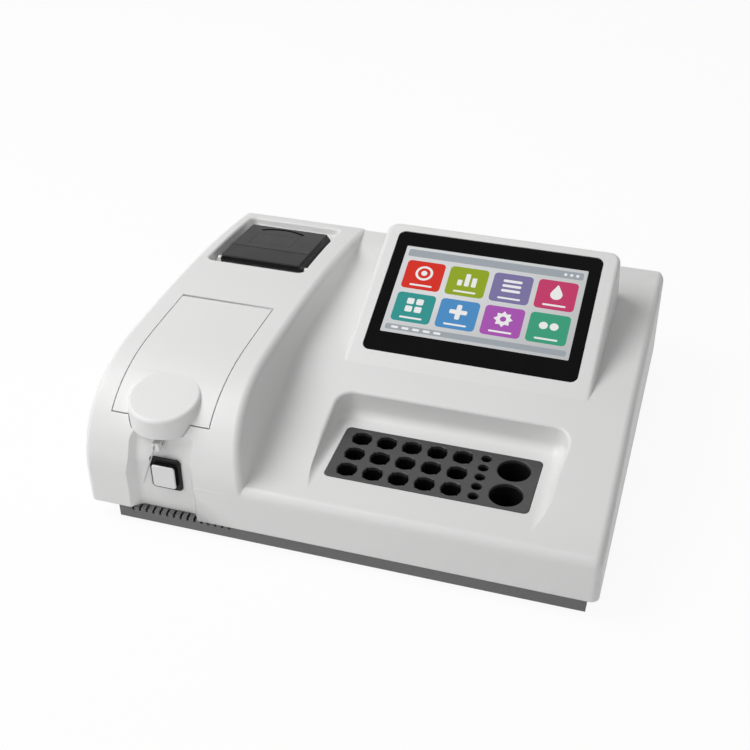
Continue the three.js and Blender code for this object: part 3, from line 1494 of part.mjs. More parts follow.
function makeSerialPort() {
  const flange = sideBox(sideRect(serialX, serialZ, serialFlangeWidth, serialFlangeHeight),
    panelRear + seatGap, panelRear + seatGap + usbWall);
  const shell = (grow) => {
    const [x0, x1, z0, z1] = sideRect(serialX, serialZ, serialShellWidth, serialShellHeight, grow);
    const slope = (z1 - z0) / 6;
    return [[x0 + slope, z0], [x1 - slope, z0], [x1, z1], [x0, z1]];
  };
  const rear = panelRear + serialProud;
  const front = panelRear - serialProud;
  const tube = cut(join(flange, prismY(shell(0), front, rear)),
    prismY(shell(-usbWall), panelRear, rear + overrun));
  const pins = serialPins.flatMap((count, row) => Array.from({ length: count }, (_, i) => (
    rodY(serialX + (i - (count - 1) / 2) * serialPinPitch, panelRear - usbWall, rear - usbWall,
      serialZ + (1 / 2 - row) * serialPinPitch, usbWall / 2, leastSides))));
  return join(tube, ...pins);
}

function makeUsbPort() {
  const rear = panelRear + usbWall;
  const front = panelRear - usbDepth;
  const body = sideBox(sideRect(usbX, usbZ, usbWidth, usbHeight), front, rear);
  const room = sideBox(sideRect(usbX, usbZ, usbWidth, usbHeight, -2 * usbWall), front + usbDepth / 3,
    rear + overrun);
  const tongue = sideBox(sideRect(usbX, usbZ, usbWidth / 2, usbTongue), front + usbDepth / 4, rear - usbWall);
  return join(cut(body, room), tongue);
}

// A barbed hose fitting with a bore.
function makeWasteFitting() {
  const barb = wasteLength / 5;
  const slim = (wasteRadius + wasteBore) / 2;
  const profile = [[wasteBore, -wasteLength / 2], [wasteRadius, -wasteLength / 2], [wasteRadius, seatGap],
    [wasteFlange, seatGap], [wasteFlange, barb], [slim, barb]];
  for (let i = 0; i < 3; i++) {
    profile.push([wasteRadius, barb * (1 + i) + barb / 4], [slim, barb * (2 + i)]);
  }
  profile.push([wasteBore, barb * 4], [wasteBore, -wasteLength / 2]);
  const geometry = new THREE.LatheGeometry(profile.map((p) => new THREE.Vector2(...p)), smallSides);
  return geometry.translate(wasteX, panelRear, wasteZ);
}

// Electronics
function makePowerSupply() {
  const bottom = floorTop + seatGap;
  const body = boxShape(supplyLeft, supplyLeft + supplyWidth, supplyFront, supplyFront + supplyLength,
    bottom, bottom + supplyHeight);
  const slots = Array.from({ length: grilleSlots }, (_, i) => {
    const y = supplyFront + (i + 1) * supplyLength / (grilleSlots + 1);
    return boxShape(supplyLeft + supplyWidth / 4, supplyLeft + 3 * supplyWidth / 4, y, y + grilleSlot,
      bottom + supplyHeight - panelSheet, bottom + supplyHeight + overrun);
  });
  return cut(body, ...slots);
}

function makeMainBoard() {
  const bottom = floorTop + standoffHeight + seatGap;
  const top = bottom + boardThickness;
  const plate = boxShape(boardLeft, boardLeft + boardWidth, boardFront, boardFront + boardLength,
    bottom, top);
  const chips = chipShares.map(([x, y, width, length]) => {
    const middleX = boardLeft + x * boardWidth;
    const middleY = boardFront + y * boardLength;
    const halfX = width * boardWidth / 2;
    const halfY = length * boardLength / 2;
    return boxShape(middleX - halfX, middleX + halfX, middleY - halfY, middleY + halfY,
      top - boardThickness / 2, top + chipHeight);
  });
  return join(plate, ...chips);
}

piece(analyzer, "base_tray", makeBaseTray(), greyPaint);
footPlaces.forEach((place, i) => piece(analyzer, `foot_${i + 1}`, makeFoot(place), rubber));
screwPlaces.forEach((place, i) => piece(analyzer, `casing_screw_${i + 1}`, makeScrew(place), steel));
piece(analyzer, "top_casing", makeTopCasing(), whitePlastic);
piece(analyzer, "sample_lid", makeSampleLid(), whitePlastic);
piece(analyzer, "lid_hinge_pin", rodX(lidLeft - pinLug, lidRight + pinLug, hingeY, hingeZ, pinRadius,
  smallSides), steel);
piece(analyzer, "sipper_holder", makeSipperHolder(), whitePlastic);
piece(analyzer, "sipper_needle", rodBetween(needleTip, needleTop, needleRadius), steel);
piece(analyzer, "sample_tube", rodBetween([needleTop[0], channelDepth + 2 * overrun + seatGap, spigotZ],
  [needleTop[0], pathY - holderWidth / 2 - seatGap, spigotZ], sampleTubeRadius), tubing);
piece(analyzer, "suction_key_bezel", makeKeyBezel(), blackPlastic);
piece(analyzer, "suction_key", prismY(keyOutline(0), keyFace + keyCapThickness + seatGap,
  channelBack + keyStemLength), blackPlastic);
piece(analyzer, "suction_key_cap", prismY(keyOutline(0), keyFace, keyFace + keyCapThickness), whitePlastic);
piece(analyzer, "suction_key_switch", makeKeySwitch(), board);
piece(analyzer, "sample_tub", makeSampleTub(), darkPlastic);
piece(analyzer, "optics_plate", makeOpticsPlate(), aluminium);
piece(analyzer, "cell_holder", makeCellHolder(), aluminium);
piece(analyzer, "flow_cell", makeFlowCell(), clearGlass);
piece(analyzer, "detector", makeDetector(), blackPlastic);
piece(analyzer, "filter_wheel", makeFilterWheel(), aluminium);
piece(analyzer, "filter_motor", makeFilterMotor(), steel);
piece(analyzer, "filter_motor_bracket", makeMotorBracket(), steel);
piece(analyzer, "condenser_lens", makeLens(), clearGlass);
piece(analyzer, "lamp_housing", makeLampHousing(), aluminium);
piece(analyzer, "lamp", makeLamp(), clearGlass);
piece(analyzer, "pump_body", makePumpBody(), darkPlastic);
piece(analyzer, "pump_rotor", makePumpRotor(), whitePlastic);
piece(analyzer, "pump_tube", makePumpTube(), tubing);
piece(analyzer, "pump_motor", makePumpMotor(), steel);
piece(analyzer, "incubator_plate", makeIncubatorPlate(), darkPlastic);
piece(analyzer, "incubator_block", makeIncubatorBlock(), aluminium);
piece(analyzer, "incubator_heater", makeHeater(), rubber);
piece(analyzer, "incubator_stand", makeIncubatorStand(), steel);
piece(printerGroup, "printer_body", makePrinterBody(), blackPlastic);
piece(printerGroup, "printer_door", makePrinterDoor(), darkPlastic);
piece(printerGroup, "door_hinge_pin", rodX(doorLeft - wall / 2, doorFoot + wall / 2, doorHingeY,
  doorPinHeight, pinRadius, smallSides), steel);
piece(printerGroup, "platen_roller", makePlaten(), rubber);
piece(printerGroup, "print_head", makePrintHead(), blackPlastic);
piece(printerGroup, "paper_roll", makePaperRoll(), paper);
piece(screenGroup, "display_glass", makeGlass(), blackGlass);
piece(screenGroup, "lcd_panel", makeLcd(), blackPlastic);
piece(screenGroup, "lcd_bracket", makeLcdBracket(), steel);
piece(analyzer, "rear_panel", makeRearPanel(), greyPaint);
piece(analyzer, "power_inlet", makePowerInlet(), blackPlastic);
piece(analyzer, "switch_housing", makeSwitchHousing(), blackPlastic);
piece(analyzer, "power_rocker", makeRocker(), blackPlastic);
piece(analyzer, "fan_frame", makeFanFrame(), blackPlastic);
piece(analyzer, "fan_rotor", makeFanRotor(), blackPlastic);
piece(analyzer, "serial_port", makeSerialPort(), steel);
piece(analyzer, "usb_port", makeUsbPort(), steel);
piece(analyzer, "waste_fitting", makeWasteFitting(), tubing);
piece(analyzer, "power_supply", makePowerSupply(), steel);
piece(analyzer, "main_board", makeMainBoard(), board);

export default analyzer;
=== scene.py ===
"""A benchtop chemistry analyzer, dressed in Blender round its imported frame."""
import json
import math

import bmesh
import bpy
import numpy as np
from mathutils import Matrix, Vector


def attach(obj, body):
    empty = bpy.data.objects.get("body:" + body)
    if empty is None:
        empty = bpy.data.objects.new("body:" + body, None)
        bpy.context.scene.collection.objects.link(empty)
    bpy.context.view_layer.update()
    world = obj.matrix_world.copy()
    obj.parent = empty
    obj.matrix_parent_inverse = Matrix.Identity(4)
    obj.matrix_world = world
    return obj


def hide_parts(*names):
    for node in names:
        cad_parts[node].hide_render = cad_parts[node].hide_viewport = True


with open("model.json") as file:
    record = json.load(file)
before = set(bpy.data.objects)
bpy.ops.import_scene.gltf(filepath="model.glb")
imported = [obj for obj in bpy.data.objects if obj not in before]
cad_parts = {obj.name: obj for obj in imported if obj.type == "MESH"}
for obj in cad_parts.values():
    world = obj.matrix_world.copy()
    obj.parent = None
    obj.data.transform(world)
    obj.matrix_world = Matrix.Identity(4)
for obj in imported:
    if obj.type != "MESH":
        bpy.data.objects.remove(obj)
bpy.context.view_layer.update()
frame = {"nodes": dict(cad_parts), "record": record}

bl_info = {
    "name": "Benchtop chemistry analyzer",
    "version": (1, 0, 0),
    "blender": (4, 5, 0),
    "location": "3D View > Sidebar > Analyzer",
    "description": "Builds the casing, lid, screen, incubator and fittings of a chemistry analyzer",
    "category": "Add Mesh",
}

# Shapes are worked out in bench millimetres: X from the left edge, Y from the front, Z up.
# place() turns them into the frame's metres. Values match the solids of the frame.
# A rectangle is given by its left, right, front and rear, and a place in the side view by Y and Z.
ORIGIN = np.array([200.0, 175.35, 0.0])
RUN_GAP = 0.8
SEAT_GAP = 0.3
WALL = 3.0
LEAST_RADIUS = 0.8
BELOW = -2.0
ABOVE = 130.0
OVERRUN = 6.0
CUT_OVER = 9.0
CUTTER_REACH = 90.0
HAIR = 0.02
WELD = 4e-6
MERGE = 2e-6
SLIVER = 8e-5

BODY_WIDTH = 400.0
BODY_DEPTH = 342.0
CASING_BOTTOM = 15.5
PLAN_CORNER = 6.5

APRON_HEIGHT = 55.0
APRON_ROLL = 9.0
APRON_FLAT = 24.0
APRON_BLEND = 12.0
SIDE_ROLL = 7.0
REAR_ROLL = 2.0
KNEE = (148.0, 87.0)
KNEE_BLEND = 20.0
VALLEY = (286.0, 88.5)
LEDGE = (326.0, 95.0)
DECK_START = 106.0

BLOCK_TOP_WIDTH = 120.0
BLOCK_LEAN = 11.0 / 60.3
SOLID_EDGE = 11.0
NOSE_START = (2.5, 56.3)
NOSE_STEPS = 56
NOSE_FADE = 24.0
PROUD = 0.06
CROWN = (95.0, 115.3)
CROWN_STEPS = 40
BLOCK_REAR = 95.6
NOSE_SHARES = ((0.053, 0.56), (0.379, 1.0))
CROWN_SHARES = ((0.385, 1.0), (0.709, 0.746))
FOOT_ENDS = (40.0, 322.0)
FOOT_FADES = (18.0, 36.0)

CONSOLE_TILT = math.radians(22.4)
CONSOLE_LEFT = 163.3
CONSOLE_WIDTH = 202.2
CONSOLE_LENGTH = 144.4
CONSOLE_CORNER = 10.0
CONSOLE_EDGE = 4.0
CONSOLE_SINK = 62.0

GLASS = (175.5, 352.0, 9.7, 135.0)
GLASS_CORNER = 6.0
GLASS_THICKNESS = 1.8
LCD = (181.25, 346.25, 20.35, 124.35)
SCREEN = (185.7, 341.8, 29.4, 120.0)

POCKET = (172.0, 356.0, -113.5, 113.5)
POCKET_CORNER = 13.0
POCKET_FLOOR = 55.0
POCKET_COVES = (6.0, 12.0, 8.0)
POCKET_WALL = 0.5
RIM_SWEEP = math.radians(81.0)
RIM_RUN = 1.2
RIM_RISE = 0.2
RIM_GROWTH = 6.0

PLATE = (183.0, 340.0, 35.0, 97.0)
PLATE_CORNER = 4.0
PLATE_TOP = 55.6
PLATE_THICKNESS = 3.0
BLOCK_TOP = 52.3
BLOCK_HEIGHT = 27.0
WELL_DEPTH = 23.0
WELL_ROUND = 7.8
WELL_SQUARE = 6.3

LID = (19.9, 99.3, 20.0, 157.5)
LID_THICKNESS = 3.0
LID_SKIRT = 5.0
HINGE = (154.9, 111.8464)
BARREL_RADIUS = 2.6
PIN_BORE = 1.5
PIN_LUG = 5.0
PIN_SIDES = 32
BOSS = (59.0, 32.3)
BOSS_RADIUS = 28.0
BOSS_UNDERSIDE = 84.8
BOSS_FRONT_TOP = 101.5
BOSS_BACK_TOP = 110.5
BOSS_WALL = 2.5
BOSS_GAP = 0.5
BOSS_RIM = 2.8
SHELF_TOP = 83.5
BAY = (23.9, 95.3)
TUB_BACK = 38.0
RAIL_FRONT = 148.5

CHANNEL = (35.5, 43.5, 87.5, 91.5)
CHANNEL_DEPTH = 7.0
CHANNEL_LEAN_START = 2.2
CHANNEL_FADE = (75.0, 91.0)
CHANNEL_TOP = 93.0
NEEDLE_TOP = (61.5, 5.2, 80.0)
NEEDLE_TIP = (49.0, 0.9, 42.5)
NEEDLE_RADIUS = 0.6
NEEDLE_POINTS = 9
SPIGOT_Z = 76.0
SPIGOT_RADIUS = 2.3
SPIGOT_REACH = 36.0

KEY_X = 66.6
KEY_Z = 52.0
KEY_SIZE = (18.6, 20.0)
KEY_FACE = 0.8
KEY_CORNER = 2.2
KEY_GAP = 0.4
KEY_REACH = 16.0
BEZEL_SIZE = (25.4, 29.5)

PRINTER_TILT = math.radians(-6.9)
PRINTER_ORIGIN = np.array([56.5, 276.0, 97.2])
BAY_SIZE = (89.0, 107.0)
BAY_CORNER = 6.0
BAY_FOOT = 1.6
BAY_DEPTH = 9.0
DOOR = (-37.2, 35.8, -40.2, 38.0)
DOOR_SKIRT = 5.0
DOOR_FOOT = DOOR[1] + DOOR_SKIRT
DOOR_FRONT_HEIGHT = 7.2
DOOR_HEIGHT = 7.7
DOOR_REAR_HEIGHT = 7.2
DOOR_CREASE = DOOR[2] + 0.335 * (DOOR[3] - DOOR[2])
DOOR_WALL = 1.6
DOOR_PIN = (-37.8, 3.2)
DOOR_BARREL = 2.4
LUG_RADIUS = 2.0
FINGER_SLOT = (-3.7, -4.0, 38.2, 3.2)
FINGER_SWEEP = math.radians(64.0)
BUCKET = (DOOR[0] + 4, DOOR[1] - 4, DOOR[2] + 8, DOOR[3] - 4)
BUCKET_DEPTH = 44.0
PANEL = (-24.5, 15.2, -5.0, 19.0)
REAR_OPENING = (216.0, 382.0, 26.0, 76.0)
CASING_RIM = (28.4, 387.6, 5.0, 330.0)
GUSSET = 26.0


# Frames and meshes

def place(points):
    """Bench millimetres to the frame's metres: the origin is taken off, then a thousandth."""
    return (np.asarray(points, float) - ORIGIN) / 1000.0


def tilted(points, angle, origin):
    """Points of a frame that is turned about X by the angle, and then moved to its origin."""
    c, s = math.cos(angle), math.sin(angle)
    turn = np.array([[1.0, 0.0, 0.0], [0.0, c, s], [0.0, -s, c]])
    return np.asarray(points, float) @ turn + np.asarray(origin, float)


def on_console(points):
    """Points of the console's frame: X, up its slope from the knee, and out of its face."""
    return tilted(points, CONSOLE_TILT, (0.0, *KNEE))


def on_printer(points):
    """Points of the printer's frame, whose origin is the middle of its bay's floor."""
    return tilted(points, PRINTER_TILT, PRINTER_ORIGIN)


def new_object(name, points, faces):
    """A mesh object from bench points and faces, at the origin, turned so that its volume is positive."""
    mesh = bpy.data.meshes.new(name)
    mesh.from_pydata(place(points).tolist(), [], faces)
    mesh.validate()
    obj = bpy.data.objects.new(name, mesh)
    bpy.context.scene.collection.objects.link(obj)
    if volume(mesh) < 0:
        mesh.flip_normals()
    return obj


def volume(mesh):
    """Sum over triangles of a third of the corner triple product, which is negative when inside out."""
    mesh.calc_loop_triangles()
    corners = np.empty(len(mesh.loop_triangles) * 3, np.int32)
    mesh.loop_triangles.foreach_get("vertices", corners)
    places = np.empty(len(mesh.vertices) * 3)
    mesh.vertices.foreach_get("co", places)
    a, b, c = places.reshape(-1, 3)[corners.reshape(-1, 3)].transpose(1, 0, 2)
    return float(np.einsum("ij,ij->i", a, np.cross(b, c)).sum() / 6.0)


def loft(name, rings, closed_ends=True, loop=False):
    """A surface through rings: point j of ring i joins point j+1 and ring i+1, and the end rings are filled.
    With loop the last ring joins the first one, as on a ring-shaped bead."""
    rings = np.asarray(rings, float)
    count, size = rings.shape[:2]
    i = np.arange(count if loop else count - 1)[:, None]
    j = np.arange(size)[None, :]
    after, beside = (i + 1) % count, (j + 1) % size
    quads = np.stack([i * size + j, i * size + beside, after * size + beside, after * size + j], -1)
    faces = quads.reshape(-1, 4).tolist()
    if closed_ends and not loop:
        faces.append(list(range(size))[::-1])
        faces.append(list(range((count - 1) * size, count * size)))
    return new_object(name, rings.reshape(-1, 3), faces)


def full_turn(sides):
    """Evenly spaced angles of a whole turn."""
    return np.linspace(0.0, 2 * math.pi, sides, endpoint=False)


def quarter(steps, sweep=math.pi / 2):
    """Pairs of 1 - cos and 1 - sin along a quarter circle, from the wall over to the top."""
    return [(1 - math.cos(t), 1 - math.sin(t)) for t in np.linspace(0.0, sweep, steps + 1)]


def ease(share):
    """A share from 0 to 1 made level at both ends: its square times three less twice the share."""
    return share ** 2 * (3 - 2 * share)


def at_height(flat, height):
    """Plan points with a height, which is one number or one for each point."""
    return np.column_stack([flat, np.broadcast_to(height, len(flat))])


def grown(rectangle, gap):
    """A rectangle whose four sides are moved outwards by a gap."""
    x0, x1, y0, y1 = rectangle
    return x0 - gap, x1 + gap, y0 - gap, y1 + gap


def prism(name, outline, low, high, axis=2, frame_of=None, round_edge=0.0, steps=4):
    """An outline carried along an axis. With round_edge its high rim turns in on a quarter circle."""
    outline = np.asarray(outline, float)
    inward = inward_of(outline)
    levels = [(low, 0.0), (high, 0.0)]
    if round_edge:
        levels[1:] = [(high - round_edge * down, round_edge * along) for along, down in quarter(steps)]
    rings = [np.insert(outline + inward * inset, axis, level, axis=1) for level, inset in levels]
    return loft(name, frame_of(np.array(rings)) if frame_of else rings)


def inward_of(outline):
    """The direction at each point of a closed outline that moves both its sides inwards by one."""
    before = outline - np.roll(outline, 1, 0)
    after = np.roll(outline, -1, 0) - outline
    x, y = outline.T
    turn = np.sign(np.sum(x * np.roll(y, -1) - y * np.roll(x, -1)))
    normals = []
    for run in (before, after):
        length = np.maximum(np.linalg.norm(run, axis=1, keepdims=True), 1e-9)
        normals.append(turn * np.stack([-run[:, 1], run[:, 0]], 1) / length)
    a, b = normals
    return (a + b) / (1.0 + np.sum(a * b, 1, keepdims=True))


def box(name, x0, x1, y0, y1, z0, z1, frame_of=None):
    """A rectangle carried from a low to a high level."""
    return prism(name, [(x0, y0), (x1, y0), (x1, y1), (x0, y1)], z0, z1, frame_of=frame_of)


def behind(name, y):
    """All of the part's space behind a distance from the front."""
    return box(name, 0.0, 400.0, y, 400.0, 0.0, 140.0)


def rod(name, centre, radius, x0, x1, sides=48, frame_of=None):
    """A round bar along X about a place in the side view."""
    return prism(name, circle(*centre, radius, sides), x0, x1, axis=0, frame_of=frame_of)


def tube(name, path, radii, sides=24):
    """A round section carried along a path: at each point a circle stands across the path's direction."""
    run = np.gradient(path, axis=0)
    run /= np.linalg.norm(run, axis=1, keepdims=True)
    u = np.cross(run, (0.0, 1.0, 0.0))
    u /= np.linalg.norm(u, axis=1, keepdims=True)
    v = np.cross(u, run)
    turn = full_turn(sides)[None, :, None]
    across = np.cos(turn) * u[:, None] + np.sin(turn) * v[:, None]
    return loft(name, path[:, None] + radii[:, None, None] * across)


def rounded_outline(x0, x1, y0, y1, corner=8, side=2):
    """Centres and outward directions round a rectangle; a point lies its corner radius out from its centre.
    The centres are the box given, which is already drawn in by that radius."""
    centres, directions = [], []
    ends = [(x1, y1), (x0, y1), (x0, y0), (x1, y0)]
    for k in range(4):
        turn = (k + np.linspace(0.0, 1.0, corner + 1)) * math.pi / 2
        directions.append(np.stack([np.cos(turn), np.sin(turn)], 1))
        centres.append(np.tile(ends[k], (corner + 1, 1)))
        share = np.linspace(0.0, 1.0, side + 2)[1:-1, None]
        centres.append(np.asarray(ends[k]) * (1 - share) + np.asarray(ends[(k + 1) % 4]) * share)
        directions.append(np.tile(directions[-1][-1], (side, 1)))
    return np.concatenate(centres).astype(float), np.concatenate(directions)


def round_rect(x0, x1, y0, y1, radius, corner=8, side=0):
    """A rectangle's outline with round corners: the smaller rectangle's points, each a radius outwards."""
    centres, directions = rounded_outline(x0 + radius, x1 - radius, y0 + radius, y1 - radius, corner, side)
    return centres + directions * radius


def arc(x, y, radius, turn):
    """Points at an angle, or at several, on a circle: x + r cos t and y + r sin t."""
    return np.stack([x + radius * np.cos(turn), y + radius * np.sin(turn)], -1)


def circle(x, y, radius, sides=48):
    """An evenly divided circle."""
    return arc(x, y, radius, full_turn(sides))


def carve(target, tools, operation="DIFFERENCE"):
    """Joins, cuts or intersects closed meshes, one after another, and keeps the result in the target."""
    for tool in tools:
        step = target.modifiers.new("carve", "BOOLEAN")
        step.operation = operation
        step.solver = "MANIFOLD"
        step.object = tool
    bpy.context.view_layer.update()
    result = target.evaluated_get(bpy.context.evaluated_depsgraph_get())
    mesh = bpy.data.meshes.new_from_object(result)
    target.modifiers.clear()
    target.data = mesh
    for tool in tools:
        bpy.data.objects.remove(tool)
    if not len(mesh.polygons):
        raise RuntimeError(f"nothing is left of {target.name}")
    return target


def unite(first, *others):
    """Joins closed meshes into the first."""
    return carve(first, others, "UNION")


def smooth(obj, angle):
    """Smooth shading with sharp edges over an angle, where a sliver's own direction counts for nothing."""
    shape = bmesh.new()
    shape.from_mesh(obj.data)
    bmesh.ops.remove_doubles(shape, verts=shape.verts, dist=WELD)
    bmesh.ops.dissolve_degenerate(shape, edges=shape.edges, dist=WELD)
    limit = math.radians(angle)
    for face in shape.faces:
        face.smooth = True
        longest = max(edge.calc_length() for edge in face.edges)
        face.tag = face.calc_area() < longest * SLIVER
    for edge in shape.edges:
        sliver = any(face.tag for face in edge.link_faces)
        edge.smooth = sliver or not edge.is_manifold or edge.calc_face_angle(0.0) < limit
    shape.to_mesh(obj.data)
    shape.free()


def dress(obj, material, body, slot, *nodes, angle=34.0, weighted=True):
    """Finishes a piece: material, smooth shading up to an angle, body, and the solids it stands for; its
    slot is not used.
    """
    obj.data.materials.clear()
    obj.data.materials.append(material)
    smooth(obj, angle)
    if weighted:
        obj.modifiers.new("even_normals", "WEIGHTED_NORMAL").keep_sharp = True
    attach(obj, body)
    if nodes:
        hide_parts(*nodes)


# Profiles

def bend(start, corner, end, steps):
    """Quadratic curve: (1-t)^2 start + 2t(1-t) corner + t^2 end."""
    t = np.linspace(0.0, 1.0, steps + 1)[:, None]
    return (1 - t) ** 2 * np.asarray(start) + 2 * t * (1 - t) * np.asarray(corner) + t ** 2 * np.asarray(end)


def curve(a, b, c, d, steps):
    """Cubic curve through a and d, drawn towards b and c."""
    t = np.linspace(0.0, 1.0, steps + 1)[:, None]
    a, b, c, d = map(np.asarray, (a, b, c, d))
    return (1 - t) ** 3 * a + 3 * t * (1 - t) ** 2 * b + 3 * t ** 2 * (1 - t) * c + t ** 3 * d


RISE = (KNEE[1] - APRON_HEIGHT) / (KNEE[0] - APRON_FLAT)
FALL = (VALLEY[1] - KNEE[1]) / (VALLEY[0] - KNEE[0])
RAMP_MIDDLE = (VALLEY[0] + LEDGE[0]) / 2
DECK_TOP = np.concatenate([
    [(0.0, APRON_HEIGHT)],
    bend((APRON_FLAT - APRON_BLEND, APRON_HEIGHT), (APRON_FLAT, APRON_HEIGHT),
         (APRON_FLAT + APRON_BLEND, APRON_HEIGHT + RISE * APRON_BLEND), 12),
    bend((KNEE[0] - KNEE_BLEND, KNEE[1] - RISE * KNEE_BLEND), KNEE,
         (KNEE[0] + KNEE_BLEND, KNEE[1] + FALL * KNEE_BLEND), 24),
    curve(VALLEY, (RAMP_MIDDLE, VALLEY[1]), (RAMP_MIDDLE, LEDGE[1]), LEDGE, 24),
    [(BODY_DEPTH, LEDGE[1])],
])


def deck_height(y):
    """Height of the deck's top line at a distance from the front, before its edges are rolled."""
    return np.interp(y, DECK_TOP[:, 0], DECK_TOP[:, 1])


def rolled_height(y):
    """Deck height with the roll at the front edge: a quarter circle takes it down to the apron."""
    inside = np.clip(1.0 - np.asarray(y) / APRON_ROLL, 0.0, 1.0)
    return deck_height(y) - APRON_ROLL * (1.0 - np.sqrt(1.0 - inside ** 2))


def block_line(bottom):
    """Side profile of the block: up the front, over the nose and crown, down to the rear. The front is flush
    with the deck's up to the apron's roll, and takes up the nose's curve by a smooth share above it."""
    nose = [(y * CROWN[0], NOSE_START[1] + z * (CROWN[1] - NOSE_START[1])) for y, z in NOSE_SHARES]
    upright = np.linspace(APRON_HEIGHT - APRON_ROLL, NOSE_START[1], 6, endpoint=False)
    lean = np.interp(upright, [0.0, NOSE_START[1]], [0.0, NOSE_START[0]])
    rise = np.vstack([np.column_stack([lean, upright]), curve(NOSE_START, *nose, CROWN, NOSE_STEPS)])
    share = np.clip((rise[:, 1] - APRON_HEIGHT + APRON_ROLL) / NOSE_FADE, 0.0, 1.0)
    rise[:, 0] = rise[:, 0] * ease(share) - PROUD
    crown = [(CROWN[0] + y * (BODY_DEPTH - CROWN[0]), BLOCK_REAR + z * (CROWN[1] - BLOCK_REAR))
             for y, z in CROWN_SHARES]
    fall = curve(CROWN, *crown, (BODY_DEPTH, BLOCK_REAR), CROWN_STEPS)
    return np.concatenate([[(-PROUD, bottom)], rise, fall[1:], [(BODY_DEPTH, bottom)]])


def block_height(y):
    """Height of the block's top line at a distance from the front."""
    line = block_line(0.0)[1:-1]
    return np.interp(y, line[:, 0], line[:, 1])


def inset_line(line, distance):
    """Points moved to the right of the way the line runs, by a distance across both its neighbours."""
    run = np.diff(line, axis=0)
    run /= np.linalg.norm(run, axis=1, keepdims=True)
    normal = np.stack([run[:, 1], -run[:, 0]], 1)
    a = np.vstack([normal[:1], normal])
    b = np.vstack([normal, normal[-1:]])
    return line + distance * (a + b) / (1.0 + np.sum(a * b, 1, keepdims=True))


def wall_of(z):
    """X of the block's leaning right wall at a height."""
    return BLOCK_TOP_WIDTH + BLOCK_LEAN * (CROWN[1] - np.asarray(z))


def block_body(name, inset, bottom, steps=14, edge_round=SOLID_EDGE):
    """The block: its side profile carried along X, drawn in at both ends on a quarter circle."""
    line = inset_line(block_line(bottom), inset) if inset else block_line(bottom)
    edge = max(edge_round - inset, LEAST_RADIUS)
    ends = [(edge * along, edge * down) for along, down in quarter(steps)]
    left = [(inset + along, down, 0.0) for along, down in ends]
    right = [(BLOCK_TOP_WIDTH - inset - along, down, BLOCK_LEAN) for along, down in ends[::-1]]
    rings = []
    for x, draw, lean in left + right:
        ring = inset_line(line, draw)
        rings.append(np.column_stack([x + lean * (CROWN[1] - ring[:, 1]), ring]))
    return loft(name, rings)


def deck_body(name, inset, bottom, steps=12, side=90):
    """The deck: plan outlines up to the rolled edge, and then drawn in over the top to its middle line.
    Near the edge the height falls by r(1 - sin t) while the outline moves in by r(1 - cos t)."""
    corner, least_corner = PLAN_CORNER, 0.3
    centres, out = rounded_outline(
        DECK_START + corner, BODY_WIDTH - corner, corner, BODY_DEPTH - corner, 16, side)
    front, rear = np.clip(-out[:, 1], 0, 1), np.clip(out[:, 1], 0, 1)
    roll = SIDE_ROLL + (APRON_ROLL - SIDE_ROLL) * front ** 2 + (REAR_ROLL - SIDE_ROLL) * rear ** 2
    roll = np.maximum(roll - inset, LEAST_RADIUS)
    reach = corner - inset
    draw = np.minimum(roll, reach - least_corner)
    rings = [at_height(centres + out * reach, bottom)]
    for along, down in quarter(steps):
        flat = centres + out * (reach - draw * along)[:, None]
        rings.append(at_height(flat, deck_height(flat[:, 1]) - inset - roll * down))
    edge = rings[-1][:, :2]
    half = (BODY_WIDTH - DECK_START) / 2
    middle = np.clip(edge[:, 1], half, BODY_DEPTH - half)
    spine = np.column_stack([np.full(len(edge), DECK_START + half), middle])
    for share in np.linspace(0.0, 1.0, 26)[1:]:
        flat = edge * (1 - share) + spine * share
        rings.append(at_height(flat, deck_height(flat[:, 1]) - inset))
    return close_up(loft(name, rings, closed_ends=False))


def close_up(obj):
    """Fills the open end of a loft whose other end has run together, and merges what has run together."""
    shape = bmesh.new()
    shape.from_mesh(obj.data)
    bmesh.ops.remove_doubles(shape, verts=shape.verts, dist=MERGE)
    bmesh.ops.dissolve_degenerate(shape, edges=shape.edges, dist=MERGE / 20)
    bmesh.ops.contextual_create(shape, geom=[edge for edge in shape.edges if len(edge.link_faces) == 1])
    bmesh.ops.recalc_face_normals(shape, faces=shape.faces)
    shape.to_mesh(obj.data)
    shape.free()
    if volume(obj.data) < 0:
        obj.data.flip_normals()
    return obj


def console_body(name, inset, steps=8):
    """The console: a round-cornered outline pushed up out of the deck, its top rim a quarter circle."""
    x0, x1 = CONSOLE_LEFT + inset, CONSOLE_LEFT + CONSOLE_WIDTH - inset
    y0, y1 = -CONSOLE_CORNER - CONSOLE_EDGE, CONSOLE_LENGTH - inset
    outline = round_rect(x0, x1, y0, y1, CONSOLE_CORNER, 12, 6)
    return prism(name, outline, -CONSOLE_SINK - inset, -inset, frame_of=on_console, round_edge=CONSOLE_EDGE,
                 steps=steps)


